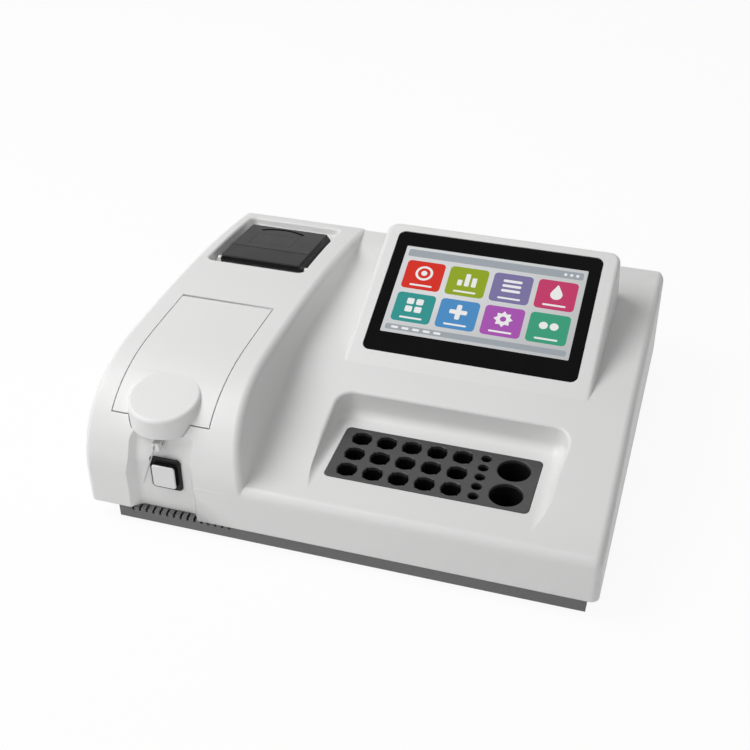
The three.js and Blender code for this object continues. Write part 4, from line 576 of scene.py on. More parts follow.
def pocket_body(name, grow, floor, flare, steps=10):
    """The sunk tray as a cutter: floor, coved foot, upright wall, and a rim that flares out to the deck.
    Both curves are quarter circles. The coves keep their size up to the front, where the deck dips."""
    x0, x1, y0, y1 = POCKET
    r = POCKET_CORNER
    centres, out = rounded_outline(x0 + r, x1 - r, y0 + r, y1 - r, 16, 90)
    left, right, rear = (np.clip(way, 0, 1) ** 2 for way in (-out[:, 0], out[:, 0], out[:, 1]))
    foot = POCKET_COVES[0] * left + POCKET_COVES[1] * right + POCKET_COVES[2] * rear + 0.05
    least = top = POCKET_FLOOR + foot + POCKET_WALL
    rim = np.zeros(len(out))
    for _ in range(3 if flare else 0):
        spot = centres + out * (r + rim)[:, None]
        level = rolled_height(np.clip(spot[:, 1], 0, BODY_DEPTH))
        rim = flare * np.clip((level - POCKET_FLOOR - foot) / RIM_GROWTH, HAIR, 1.0)
        top = np.maximum(level, least)
    rings = [(grow - foot * down, floor + foot * along) for along, down in quarter(steps)]
    if flare:
        rings += [(grow + rim * along, top - rim * down) for along, down in quarter(steps, RIM_SWEEP)[1:]]
        rings.append((rings[-1][0] + RIM_RUN, top + RIM_RISE))
    end = rings[-1][0] + HAIR if flare else grow + rim
    rings.append((end, top + CUTTER_REACH))
    return loft(name, [at_height(centres + out * (r + shift)[:, None], z) for shift, z in rings])


def channel_body(name, grow, steps=16):
    """The upright channel in the block's front: a steep left wall, a flat back and a steep right side.
    Above the key its back leans away with the nose, and higher up the channel grows shallow and ends."""
    left, left_foot = (x - grow for x in CHANNEL[:2])
    right_foot, right = (x + grow for x in CHANNEL[2:])
    depth = CHANNEL_DEPTH + grow
    lip, toe, chamfer = 1.0, 3.0, (1.5, 1.2)
    wall = bend((left - lip, -0.3), (left, 0.0), (left + 1.5, depth * 0.25), 6)
    foot = bend((left_foot - 2, depth * 0.8), (left_foot - 0.5, depth), (left_foot + toe, depth), 8)
    outline = np.array([(left - lip, -OVERRUN), *wall, *foot, (right_foot - chamfer[0], depth),
                        (right_foot, depth - chamfer[1]), (right, 0.0), (right, -OVERRUN)])
    x, y = outline.T
    rise = block_line(0.0)[1:NOSE_STEPS + 4]
    rings = []
    for z in [0.0, *np.linspace(NOSE_START[1], CHANNEL_TOP, steps + 1)]:
        back = max(float(np.interp(z, rise[:, 1], rise[:, 0])) - CHANNEL_LEAN_START, 0.0)
        share = ease(np.interp(z, CHANNEL_FADE, (1.0, 0.0)))
        fitted = np.where(y > -1.0, (y - grow) * share + grow + back, y)
        rings.append(at_height(np.column_stack([x, fitted]), z))
    return loft(name, rings)


def printer_recess(name, grow, flare, steps=8):
    """The printer's recess as a cutter in its tilted frame, its rim flaring out to meet the block's top."""
    width, length = BAY_SIZE
    r, over, apart = BAY_CORNER, 30, 1e-4
    centres, out = rounded_outline(-width / 2 + r, width / 2 - r, -length / 2 + r, length / 2 - r, 10, 30)
    base = centres + out * (r + grow)
    height = np.full(len(base), BAY_DEPTH)
    for _ in range(4):
        spot = on_printer(at_height(base, height))
        height += (block_height(spot[:, 1]) - spot[:, 2]) / math.cos(PRINTER_TILT)
    foot = 0.0 if grow else BAY_FOOT
    rings = []
    for t in np.linspace(0.0, math.pi / 2, 5):
        wide = r + grow - foot * (1 - math.sin(t))
        rings.append(at_height(centres + out * wide, -grow + foot * (1 - math.cos(t)) + apart * t))
    if flare:
        for along, down in quarter(steps, RIM_SWEEP)[1:]:
            wide = r + grow + flare * along
            rings.append(at_height(centres + out * wide, height - flare * down))
        rings.append(at_height(centres + out * (wide + RIM_RUN), height + RIM_RISE))
        base = centres + out * (wide + RIM_RUN + HAIR)
    rings.append(at_height(base, height + over))
    return loft(name, on_printer(np.array(rings)))


def lid_zone(name, grow):
    """The space of the lid, cut square to the nose along its front edge."""
    x0, x1, front, back = LID
    slip = math.sqrt(0.5)
    y, z = front - grow * slip, float(block_height(front)) - grow * slip
    foot = (y + LID_SKIRT * slip, z - LID_SKIRT * slip)
    top = (y - front * slip, z + front * slip)
    high = CROWN[1] + OVERRUN
    outline = [top, foot, (back + grow, foot[1]), (back + grow, high), (top[0], high)]
    return prism(name, outline, x0 - grow, x1 + grow, axis=0)


def boss_line():
    """Side profile of the boss's top: a straight slope from the front that bends into the lid."""
    sunk, dip, beyond = 0.04, 0.6, 20.0
    front, rear = BOSS[1] - BOSS_RADIUS, BOSS[1] + BOSS_RADIUS - 2 * BOSS_WALL
    slope = (BOSS_BACK_TOP - BOSS_FRONT_TOP) / (2 * BOSS_RADIUS)
    end = float(block_height(rear))
    way = end - float(block_height(rear - 1.0))
    corner = (end - way * rear - BOSS_FRONT_TOP + slope * front) / (slope - way)
    meet = BOSS_FRONT_TOP + slope * (corner - front)
    reach = rear - corner
    bent = bend((corner - reach, meet - slope * reach), (corner, meet), (rear, end - sunk), 12)
    return np.vstack([(front, BOSS_FRONT_TOP), *bent, (rear + 1.0, end + way - dip), (rear + beyond, end)])


def boss_top(y):
    """Height of the lift boss's top at a distance from the front."""
    line = boss_line()
    return np.interp(y, line[:, 0], line[:, 1])


def round_boss(sides=128):
    """Outward directions round the boss, and where they meet its wall."""
    turn = full_turn(sides)
    way = np.column_stack([np.cos(turn), np.sin(turn)])
    return way, np.asarray(BOSS) + way * BOSS_RADIUS


def boss_body(name, grow, rim=BOSS_RIM, steps=8):
    """The lift boss: a disc whose sloping top meets its wall in a quarter circle."""
    way, _ = round_boss()
    radius = BOSS_RADIUS + grow
    rings = [at_height(np.asarray(BOSS) + way * radius, BOSS_UNDERSIDE - grow)]
    for along, down in quarter(steps):
        flat = np.asarray(BOSS) + way * (radius - rim * along)
        rings.append(at_height(flat, boss_top(flat[:, 1]) + grow - rim * down))
    return loft(name, rings)


def boss_foot(name, radius=3.5, steps=7):
    """A concave bead where the boss meets the lid: height and reach both follow a quarter circle. It is
    smaller on the left and at the front, and sinks into the lid at the rear, where the boss stands low."""
    way, wall = round_boss()
    y = wall[:, 1]
    front_fade, left_share, sunk, depth = (6.0, 8.0), 0.45, 1.2, 0.5
    stand = boss_top(y) - BOSS_RIM - block_height(np.maximum(y, NOSE_START[0]))
    free = np.clip(stand * 0.6, 0.05, radius) * np.clip((y - front_fade[0]) / front_fade[1], HAIR, 1.0)
    free *= left_share + (1 - left_share) * np.clip(way[:, 0], 0.0, 1.0)
    sink = sunk * np.clip(1.0 - stand, 0.0, 1.0)
    section = []
    for along, down in quarter(steps):
        flat = wall + way * (free * along)[:, None]
        section.append(at_height(flat, block_height(flat[:, 1]) + free * down - sink))
    outer, inner = wall + way * free[:, None], wall - way
    section += [at_height(flat, block_height(flat[:, 1]) - depth - sink) for flat in (outer, inner)]
    section.append(at_height(inner, block_height(y) + free - sink))
    return loft(name, np.array(section).transpose(1, 0, 2), loop=True)


def block_foot(name, radius, edge, steps=10):
    """The soft foot where the block's wall meets the deck: quadratic curves tangent to both, carried
    along Y. It stays short of the rear, and shrinks to nothing at the front, at the block's rounded edge."""
    front, rear = FOOT_ENDS
    y = np.concatenate([np.linspace(edge, front, 30), np.linspace(front + 4, rear - 26, 60),
                        np.linspace(rear - 24, rear, 12)])
    r = radius * np.clip((y - edge) / FOOT_FADES[0], HAIR, 1.0)
    r *= np.clip((rear + 1 - y) / FOOT_FADES[1], 0.01, 1.0)
    z = deck_height(y)
    r = np.minimum(r, np.clip((block_height(y) - z) * 0.4, 0.1, radius))
    upper = np.column_stack([wall_of(z + r), y, z + r])
    corner = np.column_stack([wall_of(z), y, z])
    outer = np.column_stack([wall_of(z) + r * 1.3, y, z])
    shares = np.linspace(0.0, 1.0, steps + 1)
    rings = [(1 - t) ** 2 * upper + 2 * t * (1 - t) * corner + t ** 2 * outer for t in shares]
    down, side = np.array([0.0, 0.0, 1.5]), np.array([2.5, 0.0, 0.0])
    rings += [outer - down, corner - side - down, upper - side]
    return loft(name, np.array(rings).transpose(1, 0, 2))


# Materials

class Paint:
    """Short ways to make and join the shader nodes of one material."""

    def __init__(self, name):
        self.material = bpy.data.materials.new(name)
        self.material.use_nodes = True
        self.tree = self.material.node_tree
        self.tree.nodes.clear()
        self.output = self.node("ShaderNodeOutputMaterial")
        self.shader = self.node("ShaderNodeBsdfPrincipled")
        self.place = self.node("ShaderNodeTexCoord").outputs["Object"]
        self.join(self.shader.outputs["BSDF"], self.output.inputs["Surface"])

    def join(self, source, target):
        self.tree.links.new(source, target)

    def node(self, kind, **values):
        made = self.tree.nodes.new(kind)
        for key, value in values.items():
            setattr(made, key, value)
        return made

    def put(self, socket, value):
        if hasattr(value, "is_output"):
            self.join(value, socket)
        else:
            socket.default_value = value

    def feed(self, node, **values):
        """Gives a node's sockets their values or links. An underscore stands for a space."""
        for key, value in values.items():
            self.put(node.inputs[key.replace("_", " ")], value)
        return node

    def set(self, **values):
        self.feed(self.shader, **values)

    def noise(self, scale, detail=2.0, rough=0.5, stretch=None):
        source = self.place
        if stretch:
            mapping = self.node("ShaderNodeMapping")
            source = self.feed(mapping, Vector=source, Scale=stretch).outputs["Vector"]
        made = self.node("ShaderNodeTexNoise")
        return self.feed(made, Vector=source, Scale=scale, Detail=detail, Roughness=rough).outputs["Fac"]

    def tones(self, value, colour, low, dark, high, light):
        """Two shades of a colour, at a low and a high value, and a ramp between them."""
        made = self.node("ShaderNodeValToRGB")
        for stop, spot, factor in zip(made.color_ramp.elements, (low, high), (dark, light)):
            stop.position = spot
            stop.color = shade(colour, factor)
        return self.feed(made, Fac=value).outputs["Color"]

    def map(self, value, a, b, low, high):
        made = self.node("ShaderNodeMapRange")
        self.feed(made, Value=value, From_Min=a, From_Max=b, To_Min=low, To_Max=high)
        return made.outputs["Result"]

    def math(self, operation, a, b):
        made = self.node("ShaderNodeMath", operation=operation)
        self.put(made.inputs[0], a)
        self.put(made.inputs[1], b)
        return made.outputs[0]

    def blend(self, factor, a, b, kind="MIX"):
        made = self.node("ShaderNodeMix", data_type="RGBA", blend_type=kind)
        for socket, value in zip((0, 6, 7), (factor, a, b)):
            self.put(made.inputs[socket], value)
        return made.outputs[2]

    def relief(self, height, distance, strength, soften=0.0):
        """Bump from a height value, on top of edges softened by a radius."""
        bump = self.feed(self.node("ShaderNodeBump"), Strength=strength, Distance=distance, Height=height)
        if soften:
            edge = self.feed(self.node("ShaderNodeBevel", samples=4), Radius=soften)
            self.join(edge.outputs["Normal"], bump.inputs["Normal"])
        self.join(bump.outputs["Normal"], self.shader.inputs["Normal"])


def shade(colour, factor):
    return tuple(min(c * factor, 1.0) for c in colour) + (1.0,)


def moulded(name, colour, roughness=0.4, grain=5200.0, depth=0.00002, spread=0.03, soften=0.0006, shine=0.5):
    """Injection-moulded plastic: a fine spark-eroded grain, slow colour drift, and faintly rubbed edges."""
    paint = Paint(name)
    drift = paint.tones(paint.noise(9.0, 3.0), colour, 0.3, 1 - spread, 0.7, 1 + spread)
    rubbed = paint.map(paint.noise(60.0, 3.0), 0.3, 0.7, roughness - 0.04, roughness + 0.05)
    paint.set(Base_Color=drift, Roughness=rubbed, IOR=1.49, Specular_IOR_Level=shine)
    paint.relief(paint.noise(grain, 2.0, 0.6), depth, 0.35, soften)
    return paint.material


def powder_coat(name, colour):
    """Powder coat: a pebbled orange-peel surface with small brighter flecks."""
    paint = Paint(name)
    peel = paint.noise(1500.0, 2.0, 0.55)
    fleck = paint.tones(paint.noise(3800.0, 1.0), colour, 0.35, 0.86, 0.7, 1.2)
    paint.set(Base_Color=fleck, Roughness=paint.map(peel, 0.3, 0.7, 0.48, 0.64), IOR=1.5)
    paint.relief(peel, 0.00012, 0.3, 0.0005)
    return paint.material


def metal(name, colour, roughness=0.3, stretch=(1.0, 60.0, 60.0), grain=260.0):
    """Brushed or machined metal: long thin scratches drawn along one direction."""
    paint = Paint(name)
    lines = paint.noise(grain, 3.0, 0.6, stretch)
    gloss = paint.map(lines, 0.25, 0.75, roughness - 0.06, roughness + 0.1)
    paint.set(Base_Color=paint.tones(lines, colour, 0.3, 0.82, 0.72, 1.12), Metallic=1.0, Roughness=gloss)
    paint.relief(lines, 0.00003, 0.2, 0.0003)
    return paint.material


def rubber(name, colour):
    """Rubber: a dusty tone and a fine rough grain."""
    paint = Paint(name)
    dust = paint.noise(700.0, 3.0)
    paint.set(Base_Color=paint.tones(dust, colour, 0.35, 0.8, 0.75, 1.6), Roughness=0.82)
    paint.relief(paint.noise(2600.0, 2.0), 0.00005, 0.4, 0.0004)
    return paint.material


def clear(name, colour, roughness=0.03, weight=0.9):
    """Clear plastic or glass: mostly transmitting, with a little drift in its gloss."""
    paint = Paint(name)
    paint.set(Base_Color=shade(colour, 1.0), Transmission_Weight=weight, IOR=1.47)
    paint.set(Roughness=paint.map(paint.noise(90.0, 2.0), 0.3, 0.7, roughness, roughness + 0.05))
    return paint.material


def thermal_paper(name, colour):
    """Wound paper: faint rings on the ends and a soft fibre on the face."""
    paint = Paint(name)
    fibre = paint.noise(900.0, 4.0, 0.6)
    turns = paint.noise(2400.0, 2.0, 0.5, (0.02, 1.0, 1.0))
    mixed = paint.blend(0.5, paint.tones(fibre, colour, 0.3, 0.94, 0.7, 1.02),
                        paint.tones(turns, colour, 0.35, 0.84, 0.65, 1.0))
    paint.set(Base_Color=mixed, Roughness=0.88)
    paint.relief(fibre, 0.00004, 0.3)
    return paint.material


def circuit(name, colour):
    """Solder mask: fine copper tracks show as lighter lines in a cell pattern."""
    paint = Paint(name)
    cells = paint.node("ShaderNodeTexVoronoi", feature="DISTANCE_TO_EDGE", distance="CHEBYCHEV")
    edge = paint.feed(cells, Vector=paint.place, Scale=240.0).outputs["Distance"]
    gloss = paint.map(paint.noise(400.0), 0.3, 0.7, 0.25, 0.4)
    paint.set(Base_Color=paint.tones(edge, colour, 0.04, 1.9, 0.09, 1.0), Roughness=gloss, Coat_Weight=0.3)
    paint.relief(edge, 0.00005, 0.2)
    return paint.material


def glossy_black(name, colour):
    """Cover glass with a black print behind it: a polished coat with faint finger haze."""
    paint = Paint(name)
    haze = paint.noise(26.0, 5.0, 0.65)
    paint.set(Base_Color=paint.tones(haze, colour, 0.3, 0.7, 0.8, 1.8))
    paint.set(Roughness=paint.map(haze, 0.35, 0.75, 0.05, 0.12), IOR=1.52, Specular_IOR_Level=0.06)
    return paint.material


def lit_screen(name, strength=0.5, lit=0.42):
    """The lit picture: colours carried by the mesh, a fine pixel lattice, and a soft glow of their own."""
    paint = Paint(name)
    tint = paint.node("ShaderNodeAttribute", attribute_name="tint").outputs["Color"]
    pixel = paint.map(paint.noise(5200.0, 0.0), 0.35, 0.65, 0.985, 1.015)
    glow = paint.map(pixel, 0.9, 1.1, strength * 0.96, strength * 1.04)
    face = paint.blend(1.0, tint, (lit, lit, lit, 1.0), "MULTIPLY")
    paint.set(Base_Color=face, Emission_Color=tint, Emission_Strength=glow)
    paint.set(Roughness=0.28, Specular_IOR_Level=0.1)
    return paint.material


MATERIALS = {}


def finishes():
    """All finishes, made once, with the colours of the palette."""
    if MATERIALS:
        return MATERIALS
    p = bpy.context.scene.analyzer_colours
    MATERIALS.update(
        white=moulded("white_plastic", p.casing, 0.42, spread=0.012),
        cap=moulded("key_cap_plastic", p.casing, 0.35, spread=0.02, grain=7000.0),
        grey=powder_coat("grey_paint", p.base),
        dark=moulded("dark_plastic", p.door, 0.3, grain=2600.0, spread=0.12, soften=0.0005, shine=0.15),
        plate=moulded("incubator_plastic", p.plate, 0.38, grain=1900.0, depth=0.00003, spread=0.1,
                      soften=0.0004),
        black=moulded("black_plastic", p.trim, 0.42, grain=3400.0, depth=0.00004, spread=0.2, soften=0.0004,
                      shine=0.25),
        glass=glossy_black("screen_glass", p.glass),
        steel=metal("steel", (0.5, 0.51, 0.53), 0.27),
        alu=metal("aluminium", (0.4, 0.41, 0.42), 0.38, (60.0, 2.0, 60.0), 180.0),
        rubber=rubber("rubber", (0.015, 0.015, 0.015)),
        clear=clear("clear_glass", (0.9, 0.93, 0.94)),
        tube=clear("clear_tube", (0.86, 0.88, 0.88), 0.2, 0.55),
        paper=thermal_paper("paper", (0.86, 0.85, 0.82)),
        board=circuit("circuit_board", (0.02, 0.11, 0.045)),
        screen=lit_screen("lit_screen"),
    )
    return MATERIALS


SLOT_FINISH = {
    "white_plastic": "white", "grey_paint": "grey", "dark_plastic": "dark", "black_plastic": "black",
    "screen_glass": "glass", "clear_glass": "clear", "clear_tube": "tube", "steel": "steel",
    "aluminium": "alu", "rubber": "rubber", "paper": "paper", "circuit_board": "board",
}


# Sizes and colours

class AnalyzerSizes(bpy.types.PropertyGroup):
    """Sizes that a user may change without leaving the frame's solids."""

    block_edge: bpy.props.FloatProperty(
        name="Block edge", description="Radius of the left block's long edges",
        default=0.0055, unit="LENGTH")
    foot_sweep: bpy.props.FloatProperty(
        name="Foot sweep", description="Radius where the block's wall meets the deck",
        default=0.006, unit="LENGTH")
    tray_rim: bpy.props.FloatProperty(
        name="Tray rim", description="Radius of the incubator tray's rim", default=0.0032, unit="LENGTH")
    bay_rim: bpy.props.FloatProperty(
        name="Printer bay rim", description="Radius of the printer bay's rim", default=0.0024, unit="LENGTH")
    boss_rim: bpy.props.FloatProperty(
        name="Boss rim", description="Radius at the top of the lid's lift boss",
        default=0.0028, unit="LENGTH")


class AnalyzerColours(bpy.types.PropertyGroup):
    """Colours of the main finishes."""

    casing: bpy.props.FloatVectorProperty(
        name="Casing", description="Moulded white of casing and lid", subtype="COLOR",
        default=(0.8, 0.8, 0.795))
    base: bpy.props.FloatVectorProperty(
        name="Base", description="Powder coat of the base tray", subtype="COLOR", default=(0.14, 0.14, 0.14))
    door: bpy.props.FloatVectorProperty(
        name="Printer door", description="Dark plastic of the printer door", subtype="COLOR",
        default=(0.009, 0.009, 0.0095))
    plate: bpy.props.FloatVectorProperty(
        name="Incubator plate", description="Dark top of the incubator", subtype="COLOR",
        default=(0.045, 0.045, 0.047))
    trim: bpy.props.FloatVectorProperty(
        name="Trim", description="Black plastic of bezel, switch and sockets", subtype="COLOR",
        default=(0.006, 0.006, 0.006))
    glass: bpy.props.FloatVectorProperty(
        name="Screen border", description="Black print behind the cover glass", subtype="COLOR",
        default=(0.0015, 0.0015, 0.0018))


# Operators

def key_sides(width, height):
    """Sides of an upright rectangle of a size, centred on the suction key."""
    return KEY_X - width / 2, KEY_X + width / 2, KEY_Z - height / 2, KEY_Z + height / 2


class ANALYZER_OT_casing(bpy.types.Operator):
    """The white casing: block, deck and console run together, then every sunk place and opening cut in"""
    bl_idname = "analyzer.casing"
    bl_label = "Casing"

    def execute(self, context):
        sizes = context.scene.analyzer_sizes
        edge = sizes.block_edge * 1000
        shell = unite(
            block_body("top_casing_shell", 0.0, CASING_BOTTOM, edge_round=edge),
            deck_body("deck", 0.0, CASING_BOTTOM),
            console_body("console", 0.0),
            block_foot("block_foot", sizes.foot_sweep * 1000, edge),
        )
        carve(shell, [self.room(), *self.openings(sizes)])
        self.door_lugs(shell)
        dress(shell, finishes()["white"], "casing", "white_plastic", "top_casing")
        return {"FINISHED"}

    def room(self):
        """The room inside the walls, less the walls round each sunk place, the shelf under the lid, the rail
        behind it, the frames of the glass and the lid, and the rim at the foot."""
        room = unite(
            block_body("block_room", WALL, BELOW, steps=5),
            deck_body("deck_room", WALL, BELOW, steps=4, side=30),
            console_body("console_room", WALL, steps=3),
        )
        left, right, front, rear = LID
        lid_frame = box("lid_frame", left - RUN_GAP - WALL, right + RUN_GAP + WALL, front - WALL, rear,
                        SHELF_TOP, ABOVE)
        return carve(room, [
            pocket_body("tray_wall", WALL, POCKET_FLOOR - WALL, 0.0),
            channel_body("channel_wall", WALL),
            printer_recess("bay_wall", WALL, 0.0),
            box("shelf", BAY[0] - WALL, BAY[1] + WALL, 0.0, TUB_BACK, SHELF_TOP - WALL, SHELF_TOP),
            box("rail", left - PIN_LUG - WALL, right + PIN_LUG + WALL, RAIL_FRONT, rear + RUN_GAP + WALL,
                HINGE[1] - BARREL_RADIUS - RUN_GAP - WALL, ABOVE),
            box("glass_frame", *grown(GLASS, 4), -2 * WALL, 0.0, frame_of=on_console),
            carve(lid_frame, [block_body("lid_seat", LID_THICKNESS + SEAT_GAP + WALL, BELOW, steps=5)]),
            self.rim(),
        ])

    def rim(self):
        """The rim under the casing, which takes the screws into the base tray."""
        x0, x1, y0, y1 = CASING_RIM
        inner = [(x0 + GUSSET, y0), (x1 - GUSSET, y0), (x1, y0 + GUSSET), (x1, y1 - GUSSET),
                 (x1 - GUSSET, y1), (x0 + GUSSET, y1), (x0, y1 - GUSSET), (x0, y0 + GUSSET)]
        top = CASING_BOTTOM + WALL
        return carve(box("rim", 0.0, BODY_WIDTH, 0.0, BODY_DEPTH, -WALL, top),
                     [prism("rim_opening", inner, -CUT_OVER, top + CUT_OVER)])

    def openings(self, sizes):
        """Cutters for the tray, the channel, the printer's bay, the lid with its hinge and boss, the glass,
        the incubator plate, the key, the sipper and the rear panel."""
        left, right = LID[:2]
        bore_left, bore_right = left - PIN_LUG - SEAT_GAP, right + PIN_LUG + SEAT_GAP
        x0, x1, z0, z1 = REAR_OPENING
        return [
            pocket_body("tray", 0.0, POCKET_FLOOR, sizes.tray_rim * 1000),
            channel_body("channel", 0.0),
            printer_recess("bay", 0.0, sizes.bay_rim * 1000),
            box("bucket", *grown(BUCKET, SEAT_GAP), -BUCKET_DEPTH - SEAT_GAP, BAY_DEPTH,
                frame_of=on_printer),
            carve(lid_zone("lid_recess", RUN_GAP),
                  [block_body("lid_floor", LID_THICKNESS + SEAT_GAP, BELOW)]),
            box("lid_opening", *BAY, TUB_BACK, RAIL_FRONT, SHELF_TOP, ABOVE),
            rod("hinge_bore", HINGE, PIN_BORE, bore_left, bore_right, PIN_SIDES),
            rod("hinge_socket", HINGE, BARREL_RADIUS + RUN_GAP, left - RUN_GAP, right + RUN_GAP),
            boss_body("boss_room", BOSS_GAP),
            prism("glass_seat", round_rect(*grown(GLASS, SEAT_GAP), GLASS_CORNER + SEAT_GAP),
                  -GLASS_THICKNESS - 2 * SEAT_GAP, CUT_OVER, frame_of=on_console),
            box("lcd_opening", *grown(LCD, SEAT_GAP), -WALL - OVERRUN, CUT_OVER, frame_of=on_console),
            prism("plate_opening", round_rect(*grown(PLATE, SEAT_GAP), PLATE_CORNER + SEAT_GAP),
                  POCKET_FLOOR - WALL - 1, POCKET_FLOOR + CUT_OVER),
            prism("key_opening", round_rect(*grown(key_sides(*KEY_SIZE), KEY_GAP), KEY_CORNER),
                  0.0, KEY_REACH, axis=1),
            prism("spigot_hole", circle(NEEDLE_TOP[0], SPIGOT_Z, SPIGOT_RADIUS, PIN_SIDES), 0.0,
                  SPIGOT_REACH, axis=1),
            box("rear_opening", x0, x1, BODY_DEPTH - 12, BODY_DEPTH + 8, z0, z1),
        ]

    def door_lugs(self, shell):
        """Two lugs in the printer bay that hold the door's pin."""
        y, z = DOOR_PIN
        left, right = DOOR[0] - SEAT_GAP, DOOR_FOOT + SEAT_GAP
        outline = [(y - LUG_RADIUS, -1.0), (y + LUG_RADIUS, -1.0),
                   *arc(y, z, LUG_RADIUS, np.linspace(0.0, math.pi, 17))]
        for side, x in enumerate((left - WALL, right)):
            unite(shell, prism(f"door_lug_{side}", outline, x, x + WALL, axis=0, frame_of=on_printer))
        carve(shell, [rod("door_bore", DOOR_PIN, PIN_BORE, left - WALL / 2, right + WALL / 2, PIN_SIDES,
                          on_printer)])


class ANALYZER_OT_lid(bpy.types.Operator):
    """The sample lid with its round lift boss and hinge barrel"""
    bl_idname = "analyzer.lid"
    bl_label = "Sample lid"

    def execute(self, context):
        sizes = context.scene.analyzer_sizes
        plate = block_body("sample_lid_skin", 0.0, 4.0, edge_round=sizes.block_edge * 1000)
        unite(plate, boss_foot("boss_bead"))
        carve(plate, [lid_zone("lid_space", 0.0)], "INTERSECT")
        carve(plate, [block_body("under_lid", LID_THICKNESS, BELOW), behind("lid_rear", HINGE[0])])
        core = boss_body("boss_core", -BOSS_WALL, rim=1.2)
        unite(core, prism("boss_mouth", circle(*BOSS, BOSS_RADIUS - BOSS_WALL, 96), low=60.0, high=90.0))
        boss = boss_body("boss", 0.0, rim=sizes.boss_rim * 1000)
        carve(boss, [core, behind("boss_rear", BOSS[1] + BOSS_RADIUS - 2 * BOSS_WALL)])
        unite(plate, boss, rod("lid_barrel", HINGE, BARREL_RADIUS, LID[0], LID[1]))
        carve(plate, [rod("lid_bore", HINGE, PIN_BORE, 0.0, BLOCK_TOP_WIDTH + 10, PIN_SIDES)])
        dress(plate, finishes()["white"], "lid", "white_plastic", "sample_lid")
        return {"FINISHED"}


